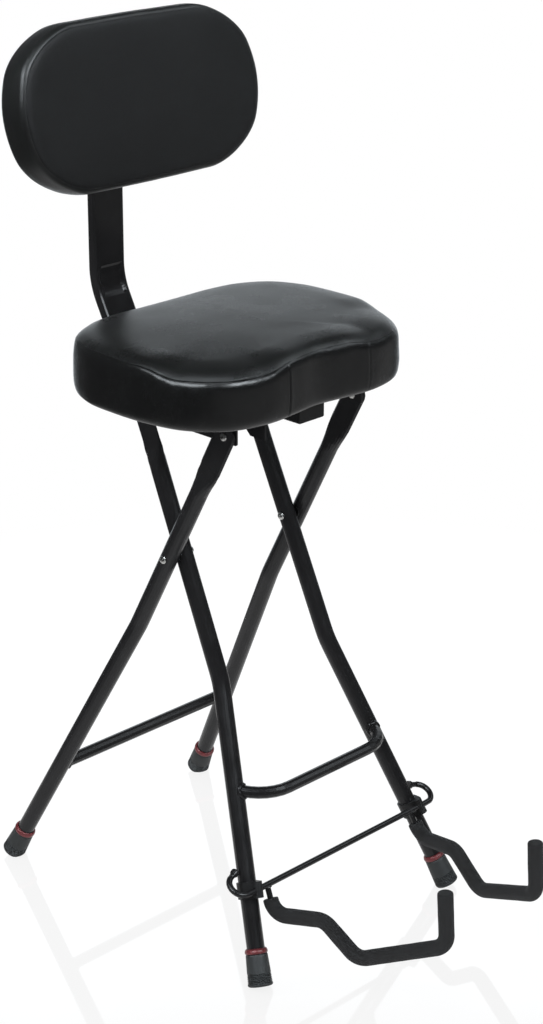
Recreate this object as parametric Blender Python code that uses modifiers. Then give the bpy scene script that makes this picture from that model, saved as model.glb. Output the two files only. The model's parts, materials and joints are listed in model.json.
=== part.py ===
"""Folding guitar stool: scissor legs, padded seat and backrest, swing-up guitar rest.

Metres, +Z up. X runs across the stool, +Y is its back, z = 0 is the floor.
Left is the -X side. Angles whose names end in DEG are in degrees.
"""
import bmesh
import bpy
from math import acos, atan2, cos, pi, radians, sin, sqrt, tan
from mathutils import Matrix, Vector

# General
CLEARANCE = 0.0003        # gap between pieces that touch
OVERRUN = 0.012           # how far a cutter passes the face that it cuts
SIDES = 20                # facets round a leg tube, a multiple of 4
ROUND = 12                # facets round a small turned piece
ARC_STEPS = 3             # facets in a small rounded corner

# Scissor frame: two pairs of legs that cross on one axis
CROSS_HEIGHT = 0.4843     # crossing axis above the floor
CROSS_BACK = 0.0855       # crossing axis behind the middle of the stool
FRONT_TILT_DEG = 24.06    # front-footed legs from the vertical
REAR_TILT_DEG = 27.71     # rear-footed legs from the vertical
SEAT_RATIO = 2.5          # seat turn for each degree of leg fold
TUBE_D = 0.0222
TUBE_WALL = 0.0015
FLAT_T = 0.0036           # pressed-flat top of a leg
FLAT_END = 0.014          # flat end beyond its hole
FLAT_BELOW = 0.050        # flat length below its hole
FLAT_CORNER = 0.010
SQUASH_LENGTH = 0.040     # length over which the tube goes from round to flat
LEG_BEND_R = 0.12

FRONT_TOP_X = 0.0876      # the front-footed legs are the inner pair
FRONT_BEND_X = 0.0937
FRONT_FOOT_X = 0.1731
FRONT_BEND_DROP = 0.1652  # along the leg, below the crossing
REAR_TOP_X = 0.1116
REAR_BEND_X = 0.1160
REAR_FOOT_X = 0.1712
REAR_BEND_DROP = 0.1183
PIVOT_RISE = 0.2010       # seat pivot, along the rear leg above the crossing
FOOT_RISE = 0.0035        # end of a leg's middle line above the floor

# Rivets, pins and washers
RIVET_D = 0.006
RIVET_HEAD_D = 0.0104
RIVET_HEAD_H = 0.0024
WASHER_D = 0.018
PIVOT_WASHER_T = 0.001
PIN_D = 0.008             # latch pin's shoulder
PIN_PLAY = 0.0006         # room round the pin in its slot
PIN_HEAD_H = 0.002

# Bars
CROSSBAR_D = 0.016
CROSSBAR_DROP = 0.374
FOOTREST_D = 0.015
FOOTREST_DROP = 0.294
FOOTREST_FORWARD = 0.0417
FOOTREST_HALF = 0.1062    # half width at its corners
FOOTREST_BEND_R = 0.051

# Rubber tips
TIP_LENGTH = 0.039
TIP_TOP_D = 0.0268
TIP_FOOT_D = 0.0310
TIP_FLOOR = 0.009         # rubber under the tube's end
TIP_EDGE = 0.0018
TIP_RING_H = 0.0042
TIP_RING_D = 0.0274

# Guitar rest: a rod that turns in two collars, with hooks that stop on the legs
ROD_D = 0.0076
ROD_UP = 0.1132           # collars along the front legs, above the foot
ROD_OFFSET = 0.018        # rod in front of the leg's middle
HOOK_TURN_DEG = 45.0      # hooks above the square to the leg, at rest
HOOK_OUT_X = 0.1805       # outer corners and end of a hook
HOOK_BACK_X = 0.1825
HOOK_END_X = 0.146
HOOK_BACK_REACH = 0.0235
HOOK_END_REACH = 0.0490
HOOK_OUT_R = 0.016
HOOK_BACK_R = 0.011
COLLAR_WALL = 0.0022
COLLAR_H = 0.020
COLLAR_BOSS_D = 0.0124
ARM_ROOT_X = 0.1313
ARM_TIP_X = 0.0826
ARM_REACH = 0.2434        # forward reach of an arm from the cross rod
ARM_DIP = 0.0544          # lowest point of an arm below the cross rod
ARM_TIP_RISE = 0.0655     # upturned tip
ARM_BEND_R = 0.022
ARM_STEPS = 4             # facets in a bend of an arm
ARM_FORWARD_SHARES = (0.0, 0.064, 0.345, 0.546, 1.0, 0.98)
ARM_DROP_SHARES = (0.0, 0.62, 0.35, 1.0, 0.03)
ARM_SIDE_SHARES = (0.0, -0.075, 0.228, 0.376, 1.0, 1.0)
SLEEVE_D = 0.019
ARM_START = 0.0010        # an arm's slanting end below the cross rod
SLEEVE_START = 0.014      # bare rod between the weld and the foam
SLEEVE_END = 0.004        # foam past the rod's tip

# Seat rails
RAIL_RISE = 0.021         # top of the rails above the pivot
RAIL_DEPTH = 0.030
RAIL_T = 0.0025
RAIL_FLANGE = 0.017
RAIL_BEND_R = 0.004
RAIL_FRONT = 0.016        # rail in front of the pivot
RAIL_REAR = 0.018         # rail behind the latch pin
RAIL_CORNER = 0.0015
LUG_X = 0.0620
LUG_FRONT = 0.019
LUG_LENGTH = 0.034
LUG_DEPTH = 0.033
LUG_CHAMFER = 0.010
LUG_FLANGE = 0.016

# Centre rail
CENTRE_W = 0.043
CENTRE_H = 0.0205
CENTRE_WALL = 0.0016
CENTRE_CORNER = 0.002
CENTRE_FRONT_INSET = 0.0156
CENTRE_REAR_INSET = 0.024

# Seat
SEAT_HALF_W = 0.1939
SEAT_FRONT = 0.1506       # front edge from the seat's middle
SEAT_REAR = 0.1288
SEAT_SETBACK = 0.1039     # seat's middle behind the pivot
SEAT_T = 0.0736
SEAT_CROWN = 0.004
SEAT_TOP_R = 0.018
SEAT_FOOT_R = 0.009
SEAT_SEAM = 0.0026        # how far the seam round the top panel draws in
SEAT_SEAM_DROP = 0.0136   # that seam below the seat's shoulder
SEAT_BOARD_T = 0.010
SEAT_BOARD_INSET = 0.022
SEAT_FRONT_X_SHARES = (0.0, 0.214, 0.472, 0.738, 0.921, 0.989)
SEAT_FRONT_Y_SHARES = (1.0, 1.03, 1.05, 0.951, 0.685, 0.341)
SEAT_REAR_X_SHARES = (1.0, 0.974, 0.855, 0.631, 0.385, 0.178)
SEAT_REAR_Y_SHARES = (0.0, 0.393, 0.744, 0.951, 1.005, 1.002)
SEAT_RING_SHARES = (0.84, 0.62, 0.38, 0.16)

# Backrest pad
PAD_HALF_W = 0.1930
PAD_HALF_H = 0.1017
PAD_T = 0.0496
PAD_CORNER = 0.054
PAD_CORNER_STEPS = 8      # facets in a corner of the pad
PAD_PINCH = 0.043         # how far the ends round in towards the corners
PAD_CROWN = 0.0022        # how far the long edges fall off towards the ends
PAD_BOW = 0.0052          # how far the ends come forward
PAD_FACE_CROWN = 0.003
PAD_FRONT_R = 0.009
PAD_BACK_R = 0.013
PAD_LEAN_DEG = 10.8
PAD_RISE = 0.3188         # pad's middle above the seat board
PAD_SETBACK = 0.1675      # pad's middle behind the seat's middle
PAD_BOARD_T = 0.009
PAD_BOARD_INSET = 0.020
PAD_RING_SHARES = (0.78, 0.5, 0.22)

# Backrest post
POST_W = 0.0502
POST_T = 0.0135
POST_WALL = 0.0016
POST_CORNER = 0.003
POST_SETBACK = 0.2213     # upright's middle behind the seat's middle
POST_OVER_PAD = 0.0432    # post's top above the pad's middle
POST_BEND_RISE = 0.0795
POST_LEAN_DEG = 28.0
POST_BEND_R = 0.089
POST_FOOT_R = 0.035
POST_FOOT_FRONT = 0.010   # foot's front end behind the seat's middle
DENT_DEPTH = 0.0028       # wall pressed in at the inside of the upper bend
DENT_RIM = 0.005
CAP_T = 0.0025
CAP_PLUG = 0.009

# Backrest bracket
BRACKET_HALF_W = 0.040
BRACKET_HALF_H = 0.040
BRACKET_T = 0.0025
BRACKET_CORNER = 0.006
BRACKET_FLANGE_HALF_H = 0.034
BRACKET_LAP = 0.004       # flange behind the post

# Screws and bolts
SCREW_D = 0.004
SCREW_HEAD_D = 0.0085
SCREW_HEAD_H = 0.0022
SCREW_BITE = 0.0065       # thread in the board
BOLT_D = 0.006
BOLT_HEAD_D = 0.013
BOLT_HEAD_H = 0.004
BOLT_FRONT = 0.032        # post bolts behind the seat's middle
BOLT_REAR = 0.080
BRACKET_BOLT_HALF = 0.016
BRACKET_SCREW_X = 0.033
BRACKET_SCREW_Z = 0.030
RAIL_SCREW_INSET = 0.040

# Places that follow from the sizes
SEATWARD = Matrix.Rotation(pi / 2, 4, "Y")          # turns local Z onto X
SIDEWAYS = Matrix(((0, 0, 1, 0), (1, 0, 0, 0), (0, 1, 0, 0), (0, 0, 0, 1)))
LENGTHWISE = Matrix.Rotation(pi / 2, 4, "X")        # turns local Z onto -Y
CROSS = Vector((0, CROSS_BACK, CROSS_HEIGHT))
FRONT_FRAME = Matrix.Translation(CROSS) @ Matrix.Rotation(-radians(FRONT_TILT_DEG), 4, "X")
REAR_FRAME = Matrix.Translation(CROSS) @ Matrix.Rotation(radians(REAR_TILT_DEG), 4, "X")
LATCH_RISE = PIVOT_RISE * cos(radians(REAR_TILT_DEG)) / cos(radians(FRONT_TILT_DEG))
PIVOT = REAR_FRAME @ Vector((0, 0, PIVOT_RISE))
LATCH = FRONT_FRAME @ Vector((0, 0, LATCH_RISE))
FRONT_FOOT_DROP = (CROSS_HEIGHT - FOOT_RISE) / cos(radians(FRONT_TILT_DEG))
REAR_FOOT_DROP = (CROSS_HEIGHT - FOOT_RISE) / cos(radians(REAR_TILT_DEG))
ROD_DROP = FRONT_FOOT_DROP - ROD_UP
ROD = FRONT_FRAME @ Vector((0, -ROD_OFFSET, -ROD_DROP))
RAIL_OUT = REAR_TOP_X - FLAT_T / 2 - PIVOT_WASHER_T - 2 * CLEARANCE
RAIL_TOP = PIVOT.z + RAIL_RISE
BOARD_BOTTOM = RAIL_TOP + CLEARANCE
SEAT = Vector((0, PIVOT.y + SEAT_SETBACK, BOARD_BOTTOM))
PAD_LEAN = radians(PAD_LEAN_DEG)
PAD = Matrix.Translation(SEAT + Vector((0, PAD_SETBACK, PAD_RISE))) @ Matrix.Rotation(-PAD_LEAN, 4, "X")
POST_Y = SEAT.y + POST_SETBACK
CENTRE_BOTTOM = RAIL_TOP - CENTRE_H


def clear_scene():
    for obj in list(bpy.data.objects):
        bpy.data.objects.remove(obj, do_unlink=True)


def new_collection(name):
    group = bpy.data.collections.new(name)
    bpy.context.scene.collection.children.link(group)
    return group


def new_material(name, colour, roughness, metallic=0.0):
    mat = bpy.data.materials.new(name)
    mat.use_nodes = True
    shader = mat.node_tree.nodes["Principled BSDF"]
    shader.inputs["Base Color"].default_value = (*colour, 1.0)
    shader.inputs["Roughness"].default_value = roughness
    shader.inputs["Metallic"].default_value = metallic
    return mat


def place(name, mesh, mat, matrix, group=None):
    """Put a mesh in the model as one named, smooth-shaded object."""
    obj = bpy.data.objects.new(name, mesh)
    mesh.shade_smooth()
    mesh.set_sharp_from_angle(angle=radians(35))
    if mat:
        mesh.materials.clear()
        mesh.materials.append(mat)
    (group or PARTS).objects.link(obj)
    obj.matrix_world = matrix
    return obj


def mesh_from(bm, name):
    bmesh.ops.recalc_face_normals(bm, faces=bm.faces)
    mesh = bpy.data.meshes.new(name)
    bm.to_mesh(mesh)
    bm.free()
    return mesh


# Cutting and joining
def hide(obj):
    obj.hide_render = True
    obj.display_type = "WIRE"
    for group in list(obj.users_collection):
        group.objects.unlink(obj)
    CUTTERS.objects.link(obj)
    return obj


def boolean(obj, tool, operation):
    mod = obj.modifiers.new(operation.title() + " " + tool.name, "BOOLEAN")
    mod.operation = operation
    mod.object = tool


def cut(obj, *tools):
    for tool in tools:
        boolean(obj, tool, "DIFFERENCE")
    return obj


def fuse(obj, *tools):
    for tool in tools:
        boolean(obj, hide(tool), "UNION")
    return obj


# Basic shapes
def box(name, size, matrix, mat=None):
    bm = bmesh.new()
    bmesh.ops.create_cube(bm, size=1.0)
    bmesh.ops.scale(bm, vec=size, verts=bm.verts)
    return place(name, mesh_from(bm, name), mat, matrix)


def cylinder(name, radius, length, matrix, mat=None, sides=ROUND):
    bm = bmesh.new()
    bmesh.ops.create_cone(bm, cap_ends=True, segments=sides, radius1=radius, radius2=radius, depth=length)
    return place(name, mesh_from(bm, name), mat, matrix)


def turned(name, profile, matrix, mat, closed=False, sides=ROUND):
    """Turn a profile of (radius, height) points, which runs down its outer side."""
    mesh = bpy.data.meshes.new(name)
    count = len(profile)
    edges = [(i, i + 1) for i in range(count - 1)]
    if closed:
        edges.append((count - 1, 0))
    mesh.from_pydata([(r, 0, h) for r, h in profile], edges, [])
    obj = place(name, mesh, mat, matrix)
    mod = obj.modifiers.new("Turn", "SCREW")
    mod.axis = "Z"
    mod.angle = 2 * pi
    mod.steps = sides
    mod.render_steps = sides
    mod.use_merge_vertices = True
    mod.merge_threshold = 0.00001
    mod.use_smooth_shade = True
    return obj


def to_mesh(obj, name, mat):
    """Turn a curve object into a mesh object with welded caps."""
    bpy.context.view_layer.update()
    evaluated = obj.evaluated_get(bpy.context.evaluated_depsgraph_get())
    mesh = bpy.data.meshes.new_from_object(evaluated)
    matrix = obj.matrix_world.copy()
    curve = obj.data
    bpy.data.objects.remove(obj, do_unlink=True)
    bpy.data.curves.remove(curve)
    bm = bmesh.new()
    bm.from_mesh(mesh)
    bmesh.ops.remove_doubles(bm, verts=bm.verts, dist=0.00001)
    bmesh.ops.recalc_face_normals(bm, faces=bm.faces)
    bm.to_mesh(mesh)
    bm.free()
    mesh.name = name
    return place(name, mesh, mat, matrix)


def tube(name, points, radius, mat, resolution=4):
    """A round bar along a run of points."""
    curve = bpy.data.curves.new(name, "CURVE")
    curve.dimensions = "3D"
    curve.bevel_depth = radius
    curve.bevel_resolution = resolution
    curve.use_fill_caps = True
    spline = curve.splines.new("POLY")
    spline.points.add(len(points) - 1)
    for knot, point in zip(spline.points, points):
        knot.co = (*point, 1.0)
    obj = bpy.data.objects.new(name, curve)
    PARTS.objects.link(obj)
    return to_mesh(obj, name, mat)


def plate(name, outlines, thickness, matrix, mat=None):
    """A flat piece: the first outline is its edge, and any others are holes."""
    curve = bpy.data.curves.new(name, "CURVE")
    curve.dimensions = "2D"
    curve.fill_mode = "BOTH"
    curve.extrude = thickness / 2
    for outline in outlines:
        spline = curve.splines.new("POLY")
        spline.points.add(len(outline) - 1)
        spline.use_cyclic_u = True
        for knot, point in zip(spline.points, outline):
            knot.co = (point[0], point[1], 0, 1)
    obj = bpy.data.objects.new(name, curve)
    PARTS.objects.link(obj)
    obj.matrix_world = matrix
    return to_mesh(obj, name, mat)


def loft(name, rings, matrix, mat):
    """Skin a run of rings that have the same number of points, and cap its ends."""
    bm = bmesh.new()
    loops = [[bm.verts.new(point) for point in ring] for ring in rings]
    count = len(rings[0])
    for near, far in zip(loops, loops[1:]):
        for i in range(count):
            j = (i + 1) % count
            bm.faces.new((near[i], near[j], far[j], far[i]))
    bm.faces.new(loops[0])
    bm.faces.new(loops[-1])
    return place(name, mesh_from(bm, name), mat, matrix)


# Lines and outlines
def fillet(before, corner, after, radius, steps):
    """Points of the arc that rounds one corner."""
    to_before = (before - corner).normalized()
    to_after = (after - corner).normalized()
    half = to_before.angle(to_after) / 2
    run = radius / tan(half)
    centre = corner + (to_before + to_after).normalized() * (radius / sin(half))
    start = corner + to_before * run - centre
    end = corner + to_after * run - centre
    sweep = start.angle(end)
    arc = []
    for i in range(steps + 1):
        share = i / steps
        near = sin((1 - share) * sweep) / sin(sweep)
        far = sin(share * sweep) / sin(sweep)
        arc.append(centre + start * near + end * far)
    return arc


def rounded_line(points, radius, steps=ARC_STEPS):
    points = [Vector(point) for point in points]
    line = [points[0]]
    for before, corner, after in zip(points, points[1:], points[2:]):
        line += fillet(before, corner, after, radius, steps)
    return line + [points[-1]]


def rounded_outline(points, radii, steps=ARC_STEPS):
    points = [Vector((*point, 0)) for point in points]
    count = len(points)
    outline = []
    for i, radius in enumerate(radii):
        if radius:
            outline += fillet(points[i - 1], points[i], points[(i + 1) % count], radius, steps)
        else:
            outline.append(points[i])
    return outline


def rectangle(width, height, radius, steps=ARC_STEPS):
    w, h = width / 2, height / 2
    return rounded_outline([(-w, -h), (w, -h), (w, h), (-w, h)], [radius] * 4, steps)


def smooth_loop(points, steps):
    """Closed curve through the points, as a Catmull-Rom spline."""
    count = len(points)
    loop = []
    for i in range(count):
        a, b, c, d = (points[(i + k - 1) % count] for k in range(4))
        for step in range(steps):
            t = step / steps
            loop.append(0.5 * ((2 * b) + (c - a) * t + (2 * a - 5 * b + 4 * c - d) * t ** 2
                               + (3 * b - a - 3 * c + d) * t ** 3))
    return loop


def inset(loop, distance):
    """Move a closed 2D loop, which runs anticlockwise, inwards along its normals."""
    count = len(loop)
    moved = []
    for i, point in enumerate(loop):
        along = (loop[(i + 1) % count] - loop[i - 1]).normalized()
        moved.append(point + Vector((-along.y, along.x)) * distance)
    return moved


def edge_arc(radius, steps=ARC_STEPS):
    """Inset and height from the flat face, over a rounded edge."""
    arc = []
    for i in range(steps + 1):
        angle = pi / 2 * i / steps
        arc.append((radius * (1 - sin(angle)), radius * (1 - cos(angle))))
    return arc


# Legs
def leg_section(thickness, width_share, offset=0.0):
    """Cross-section of the tube pressed to a thickness, with its perimeter kept."""
    girth_d = TUBE_D - 2 * offset
    thick = min(thickness - 2 * offset, girth_d)
    flat = pi * (girth_d - thick) / 2
    perimeter = pi * girth_d
    section = []
    for i in range(SIDES):
        run = (perimeter * i / SIDES + flat / 2) % perimeter
        if run < flat:
            u, v = thick / 2, run - flat / 2
        elif run < flat + pi * thick / 2:
            turn = (run - flat) / (thick / 2)
            u, v = thick / 2 * cos(turn), flat / 2 + thick / 2 * sin(turn)
        elif run < 2 * flat + pi * thick / 2:
            u, v = -thick / 2, flat / 2 - (run - flat - pi * thick / 2)
        else:
            turn = (run - 2 * flat - pi * thick / 2) / (thick / 2)
            u, v = -thick / 2 * cos(turn), -flat / 2 - thick / 2 * sin(turn)
        section.append((u, v * width_share))
    return section


def leg_stations(rise, top_x, bend_x, foot_x, bend_drop, end_drop):
    """Middle line of a leg as (x, height, thickness, width share), from its top down."""
    flat_w = FLAT_T + pi * (TUBE_D - FLAT_T) / 2
    stations = []
    for i in range(ARC_STEPS + 1):
        turn = pi / 2 * i / ARC_STEPS
        height = rise + FLAT_END - FLAT_CORNER * (1 - cos(turn))
        half = flat_w / 2 - FLAT_CORNER * (1 - sin(turn))
        stations.append((top_x, height, FLAT_T, half / (flat_w / 2)))
    low = rise - FLAT_BELOW
    knee = (top_x, low)
    slope = (bend_x - top_x) / (low + bend_drop)
    for i in range(ARC_STEPS + 1):
        share = i / ARC_STEPS
        ease = share * share * (3 - 2 * share)
        height = low - SQUASH_LENGTH * share
        thick = FLAT_T + (TUBE_D - FLAT_T) * ease
        stations.append((top_x + slope * (low - height), height, thick, 1.0))
    line = rounded_line([(*knee, 0), (bend_x, -bend_drop, 0), (foot_x, -end_drop, 0)], LEG_BEND_R)
    stations += [(point.x, point.y, TUBE_D, 1.0) for point in line[1:]]
    return stations


def leg_x(height, top_x, bend_x, foot_x, bend_drop, end_drop, rise):
    """Middle of a leg at a height along it, from the crossing."""
    if height > -bend_drop:
        low = rise - FLAT_BELOW
        return top_x + (bend_x - top_x) * max(low - height, 0) / (low + bend_drop)
    return bend_x + (foot_x - bend_x) * (-height - bend_drop) / (end_drop - bend_drop)


def station_ring(stations, i, side, offset=0.0):
    """Section points round one station, square to the leg's line."""
    x, height, thick, width_share = stations[i]
    before = stations[max(i - 1, 0)]
    after = stations[min(i + 1, len(stations) - 1)]
    along = Vector((after[0] - before[0], after[1] - before[1])).normalized()
    ring = []
    for u, v in leg_section(thick, width_share, offset):
        ring.append(Vector((side * (x - u * along.y), v, height + u * along.x)))
    return ring


def leg(name, frame, side, rise, sizes, foot_drop, mat):
    """One leg: a tube pressed flat at its top and open at its foot."""
    top_x, bend_x, foot_x, bend_drop = sizes
    end_drop = foot_drop - TIP_FLOOR - CLEARANCE
    end_x = leg_x(-end_drop, top_x, bend_x, foot_x, bend_drop, foot_drop, rise)
    stations = leg_stations(rise, top_x, bend_x, end_x, bend_drop, end_drop)
    first_round = 2 * ARC_STEPS + 1
    rings = [station_ring(stations, i, side) for i in range(len(stations))]
    bore = range(len(stations) - 1, first_round - 1, -1)
    rings += [station_ring(stations, i, side, TUBE_WALL) for i in bore]
    return loft(name, rings, frame, mat)


FRONT_SIZES = (FRONT_TOP_X, FRONT_BEND_X, FRONT_FOOT_X, FRONT_BEND_DROP)
REAR_SIZES = (REAR_TOP_X, REAR_BEND_X, REAR_FOOT_X, REAR_BEND_DROP)


def front_x(height):
    return leg_x(height, *FRONT_SIZES, FRONT_FOOT_DROP, LATCH_RISE)


def rear_x(height):
    return leg_x(height, *REAR_SIZES, REAR_FOOT_DROP, PIVOT_RISE)


def leg_direction(frame, x_at, foot_drop, side):
    """Matrix with its origin at a leg's foot and local Z up the leg."""
    foot = Vector((side * x_at(-foot_drop), 0, -foot_drop))
    above = Vector((side * x_at(-foot_drop + TIP_LENGTH), 0, -foot_drop + TIP_LENGTH))
    tilt = (above - foot).normalized().to_track_quat("Z", "Y").to_matrix().to_4x4()
    return frame @ Matrix.Translation(foot) @ tilt


def across(x, point):
    """Matrix at a point of the side view, moved to x, with local Z along X."""
    return Matrix.Translation(Vector((x, point.y, point.z))) @ SEATWARD


def pin_hole(name, radius, x_low, x_high, point):
    return hide(cylinder(name, radius, x_high - x_low, across((x_low + x_high) / 2, point)))


# Turned fasteners
def rivet(name, matrix, grip, shank_d, head_d, head_h, mat):
    """A rivet or bolt with a domed head at each end of its grip."""
    dome = [(head_d / 2 * sin(pi / 2 * i / 3), head_h * cos(pi / 2 * i / 3)) for i in range(4)]
    profile = [(r, grip / 2 + h) for r, h in dome]
    profile += [(shank_d / 2, grip / 2), (shank_d / 2, -grip / 2)]
    profile += [(r, -grip / 2 - h) for r, h in reversed(dome)]
    profile[0] = (0, profile[0][1])
    profile[-1] = (0, profile[-1][1])
    return turned(name, profile, matrix, mat)


def headed_screw(name, matrix, length, shank_d, head_d, head_h, mat):
    """A screw whose domed head is at local z = 0 and whose shank runs along +Z."""
    dome = [(head_d / 2 * sin(pi / 2 * i / 3), -head_h * cos(pi / 2 * i / 3)) for i in range(4)]
    profile = [(0, length), (shank_d / 2, length), (shank_d / 2, 0)]
    profile += list(reversed(dome))
    profile[-1] = (0, profile[-1][1])
    return turned(name, profile, matrix, mat)


def washer(name, matrix, thickness, mat):
    outer, inner, half = WASHER_D / 2, RIVET_D / 2 + CLEARANCE, thickness / 2
    return turned(name, [(inner, half), (outer, half), (outer, -half), (inner, -half)], matrix, mat, True)


# Sub-parts of the two frames
def make_legs(side, word, steel):
    """Both legs of one side with their holes."""
    front = leg("front_leg_" + word, FRONT_FRAME, side, LATCH_RISE, FRONT_SIZES, FRONT_FOOT_DROP, steel)
    rear = leg("rear_leg_" + word, REAR_FRAME, side, PIVOT_RISE, REAR_SIZES, REAR_FOOT_DROP, steel)
    hole_r = RIVET_D / 2 + CLEARANCE
    low, high = FRONT_TOP_X - TUBE_D, REAR_TOP_X + TUBE_D
    cross_hole = pin_hole("cross_hole_" + word, hole_r, *sorted((side * low, side * high)), CROSS)
    latch_hole = pin_hole("latch_hole_" + word, hole_r, *sorted((side * low, side * REAR_TOP_X)), LATCH)
    pivot_hole = pin_hole("pivot_hole_" + word, hole_r, *sorted((side * low, side * high)), PIVOT)
    cut(front, cross_hole, latch_hole)
    cut(rear, cross_hole, pivot_hole)
    return front, rear


def make_foot(frame, x_at, foot_drop, side, kind, word, rubber, red, floor):
    """Rubber tip and its coloured ring on the foot of one leg."""
    place_at = leg_direction(frame, x_at, foot_drop, side)
    bore, top, foot = TUBE_D / 2 + CLEARANCE, TIP_TOP_D / 2, TIP_FOOT_D / 2
    profile = [(0, TIP_FLOOR), (bore, TIP_FLOOR), (bore, TIP_LENGTH), (top - TIP_EDGE, TIP_LENGTH)]
    profile += [(top, TIP_LENGTH - TIP_EDGE), (foot, TIP_EDGE), (foot - TIP_EDGE, 0), (0, 0)]
    tip = turned(kind + "_tip_" + word, profile, place_at, rubber, sides=SIDES)
    cut(tip, floor)
    low = TIP_LENGTH + CLEARANCE
    high, wide = low + TIP_RING_H, TIP_RING_D / 2
    profile = [(bore, high), (wide, high), (wide, low), (bore, low)]
    ring = turned(kind + "_ring_" + word, profile, place_at, red, True, SIDES)
    return tip, ring


def leg_cutter(name, frame, x_at, side, drop, length):
    """A cylinder a clearance larger than the leg, round one stretch of it."""
    here = Vector((side * x_at(-drop), 0, -drop))
    above = Vector((side * x_at(-drop + TUBE_D), 0, -drop + TUBE_D))
    tilt = (above - here).normalized().to_track_quat("Z", "Y").to_matrix().to_4x4()
    matrix = frame @ Matrix.Translation(here) @ tilt
    return hide(cylinder(name, TUBE_D / 2 + CLEARANCE, length, matrix, sides=SIDES))


def make_crossbar(steel):
    """Straight bar between the rear legs, coped to them."""
    x = rear_x(-CROSSBAR_DROP)
    ends = [REAR_FRAME @ Vector((side * x, 0, -CROSSBAR_DROP)) for side in (-1, 1)]
    bar = tube("rear_crossbar", ends, CROSSBAR_D / 2, steel)
    for side, word in SIDES_OF:
        cut(bar, leg_cutter("crossbar_cope_" + word, REAR_FRAME, rear_x, side, CROSSBAR_DROP, 4 * TUBE_D))
    return bar


def make_footrest(steel):
    """Bar across the front, with ends that bend back to the front legs."""
    leg_point = Vector((front_x(-FOOTREST_DROP), 0, -FOOTREST_DROP))
    middle = FRONT_FRAME @ leg_point
    front_y = middle.y - FOOTREST_FORWARD
    points = [(-leg_point.x, middle.y, middle.z), (-FOOTREST_HALF, front_y, middle.z)]
    points += [(FOOTREST_HALF, front_y, middle.z), (leg_point.x, middle.y, middle.z)]
    line = rounded_line(points, FOOTREST_BEND_R, 2 * ARC_STEPS)
    bar = tube("footrest_bar", line, FOOTREST_D / 2, steel)
    for side, word in SIDES_OF:
        cut(bar, leg_cutter("footrest_cope_" + word, FRONT_FRAME, front_x, side, FOOTREST_DROP, 4 * TUBE_D))
    return bar


def make_crossing(side, word, zinc, nylon):
    """Rivet and washer where two legs cross."""
    inner, outer = front_x(0) - TUBE_D / 2, rear_x(0) + TUBE_D / 2
    grip = outer - inner + 2 * CLEARANCE
    pin = rivet("crossing_rivet_" + word, across(side * (inner + outer) / 2, CROSS), grip, RIVET_D,
                RIVET_HEAD_D, RIVET_HEAD_H, zinc)
    gap = rear_x(0) - front_x(0) - TUBE_D
    matrix = across(side * (front_x(0) + rear_x(0)) / 2, CROSS)
    spacer = washer("crossing_washer_" + word, matrix, gap - 2 * CLEARANCE, nylon)
    return pin, spacer


def make_pivot(side, word, zinc, nylon):
    """Rivet and washer where the seat turns on a rear leg."""
    inner, outer = RAIL_OUT - RAIL_T, REAR_TOP_X + FLAT_T / 2
    grip = outer - inner + 2 * CLEARANCE
    pin = rivet("seat_rivet_" + word, across(side * (inner + outer) / 2, PIVOT), grip, RIVET_D,
                RIVET_HEAD_D, RIVET_HEAD_H, zinc)
    matrix = across(side * (RAIL_OUT + CLEARANCE + PIVOT_WASHER_T / 2), PIVOT)
    return pin, washer("seat_washer_" + word, matrix, PIVOT_WASHER_T, nylon)


def make_latch_pin(side, word, steel):
    """Shoulder pin on a front leg's top, which lies in the side rail's slot."""
    inner, outer = FRONT_TOP_X - FLAT_T / 2 - CLEARANCE, FRONT_TOP_X + FLAT_T / 2 + CLEARANCE
    head, neck, shoulder, edge = RIVET_HEAD_D / 2, RIVET_D / 2, PIN_D / 2, (PIN_D - RIVET_D) / 4
    profile = [(0, RAIL_OUT), (shoulder - edge, RAIL_OUT), (shoulder, RAIL_OUT - edge), (shoulder, outer)]
    profile += [(neck, outer), (neck, inner), (head, inner), (neck, inner - PIN_HEAD_H)]
    profile.append((0, inner - PIN_HEAD_H))
    matrix = Matrix.Translation(Vector((0, LATCH.y, LATCH.z))) @ Matrix.Rotation(side * pi / 2, 4, "Y")
    return turned("latch_pin_" + word, profile, matrix, steel)


# Guitar rest
def make_rest_rod(steel):
    """Cross rod whose ends hook back behind the legs, where they stop the swing."""
    turn = radians(HOOK_TURN_DEG - FRONT_TILT_DEG)
    back = Vector((0, cos(turn), sin(turn)))
    halves = []
    for side, word in SIDES_OF:
        start, out = ROD, ROD + Vector((side * HOOK_OUT_X, 0, 0))
        behind = ROD + Vector((side * HOOK_BACK_X, 0, 0)) + back * HOOK_BACK_REACH
        end = ROD + Vector((side * HOOK_END_X, 0, 0)) + back * HOOK_END_REACH
        half = fillet(start, out, behind, HOOK_OUT_R, 2 * ARC_STEPS)
        halves.append(half + fillet(out, behind, end, HOOK_BACK_R, 2 * ARC_STEPS) + [end])
    return tube("rest_rod", list(reversed(halves[0])) + halves[1], ROD_D / 2, steel)


def arm_line(side, start, past):
    """Middle line of an arm: it starts a way along it and ends past its upturned tip."""
    drops = [ARM_DIP * share for share in ARM_DROP_SHARES]
    drops[0] = ROD_D / 2
    drops.append(drops[-1] - ARM_TIP_RISE)
    points = []
    for forward, drop, share in zip(ARM_FORWARD_SHARES, drops, ARM_SIDE_SHARES):
        x = ARM_ROOT_X + (ARM_TIP_X - ARM_ROOT_X) * share
        points.append(Vector((side * x, ROD.y - ARM_REACH * forward, ROD.z - drop)))
    points[0] += (points[1] - points[0]).normalized() * start
    points[-1] += (points[-1] - points[-2]).normalized() * past
    return rounded_line(points, ARM_BEND_R, ARM_STEPS)


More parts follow.
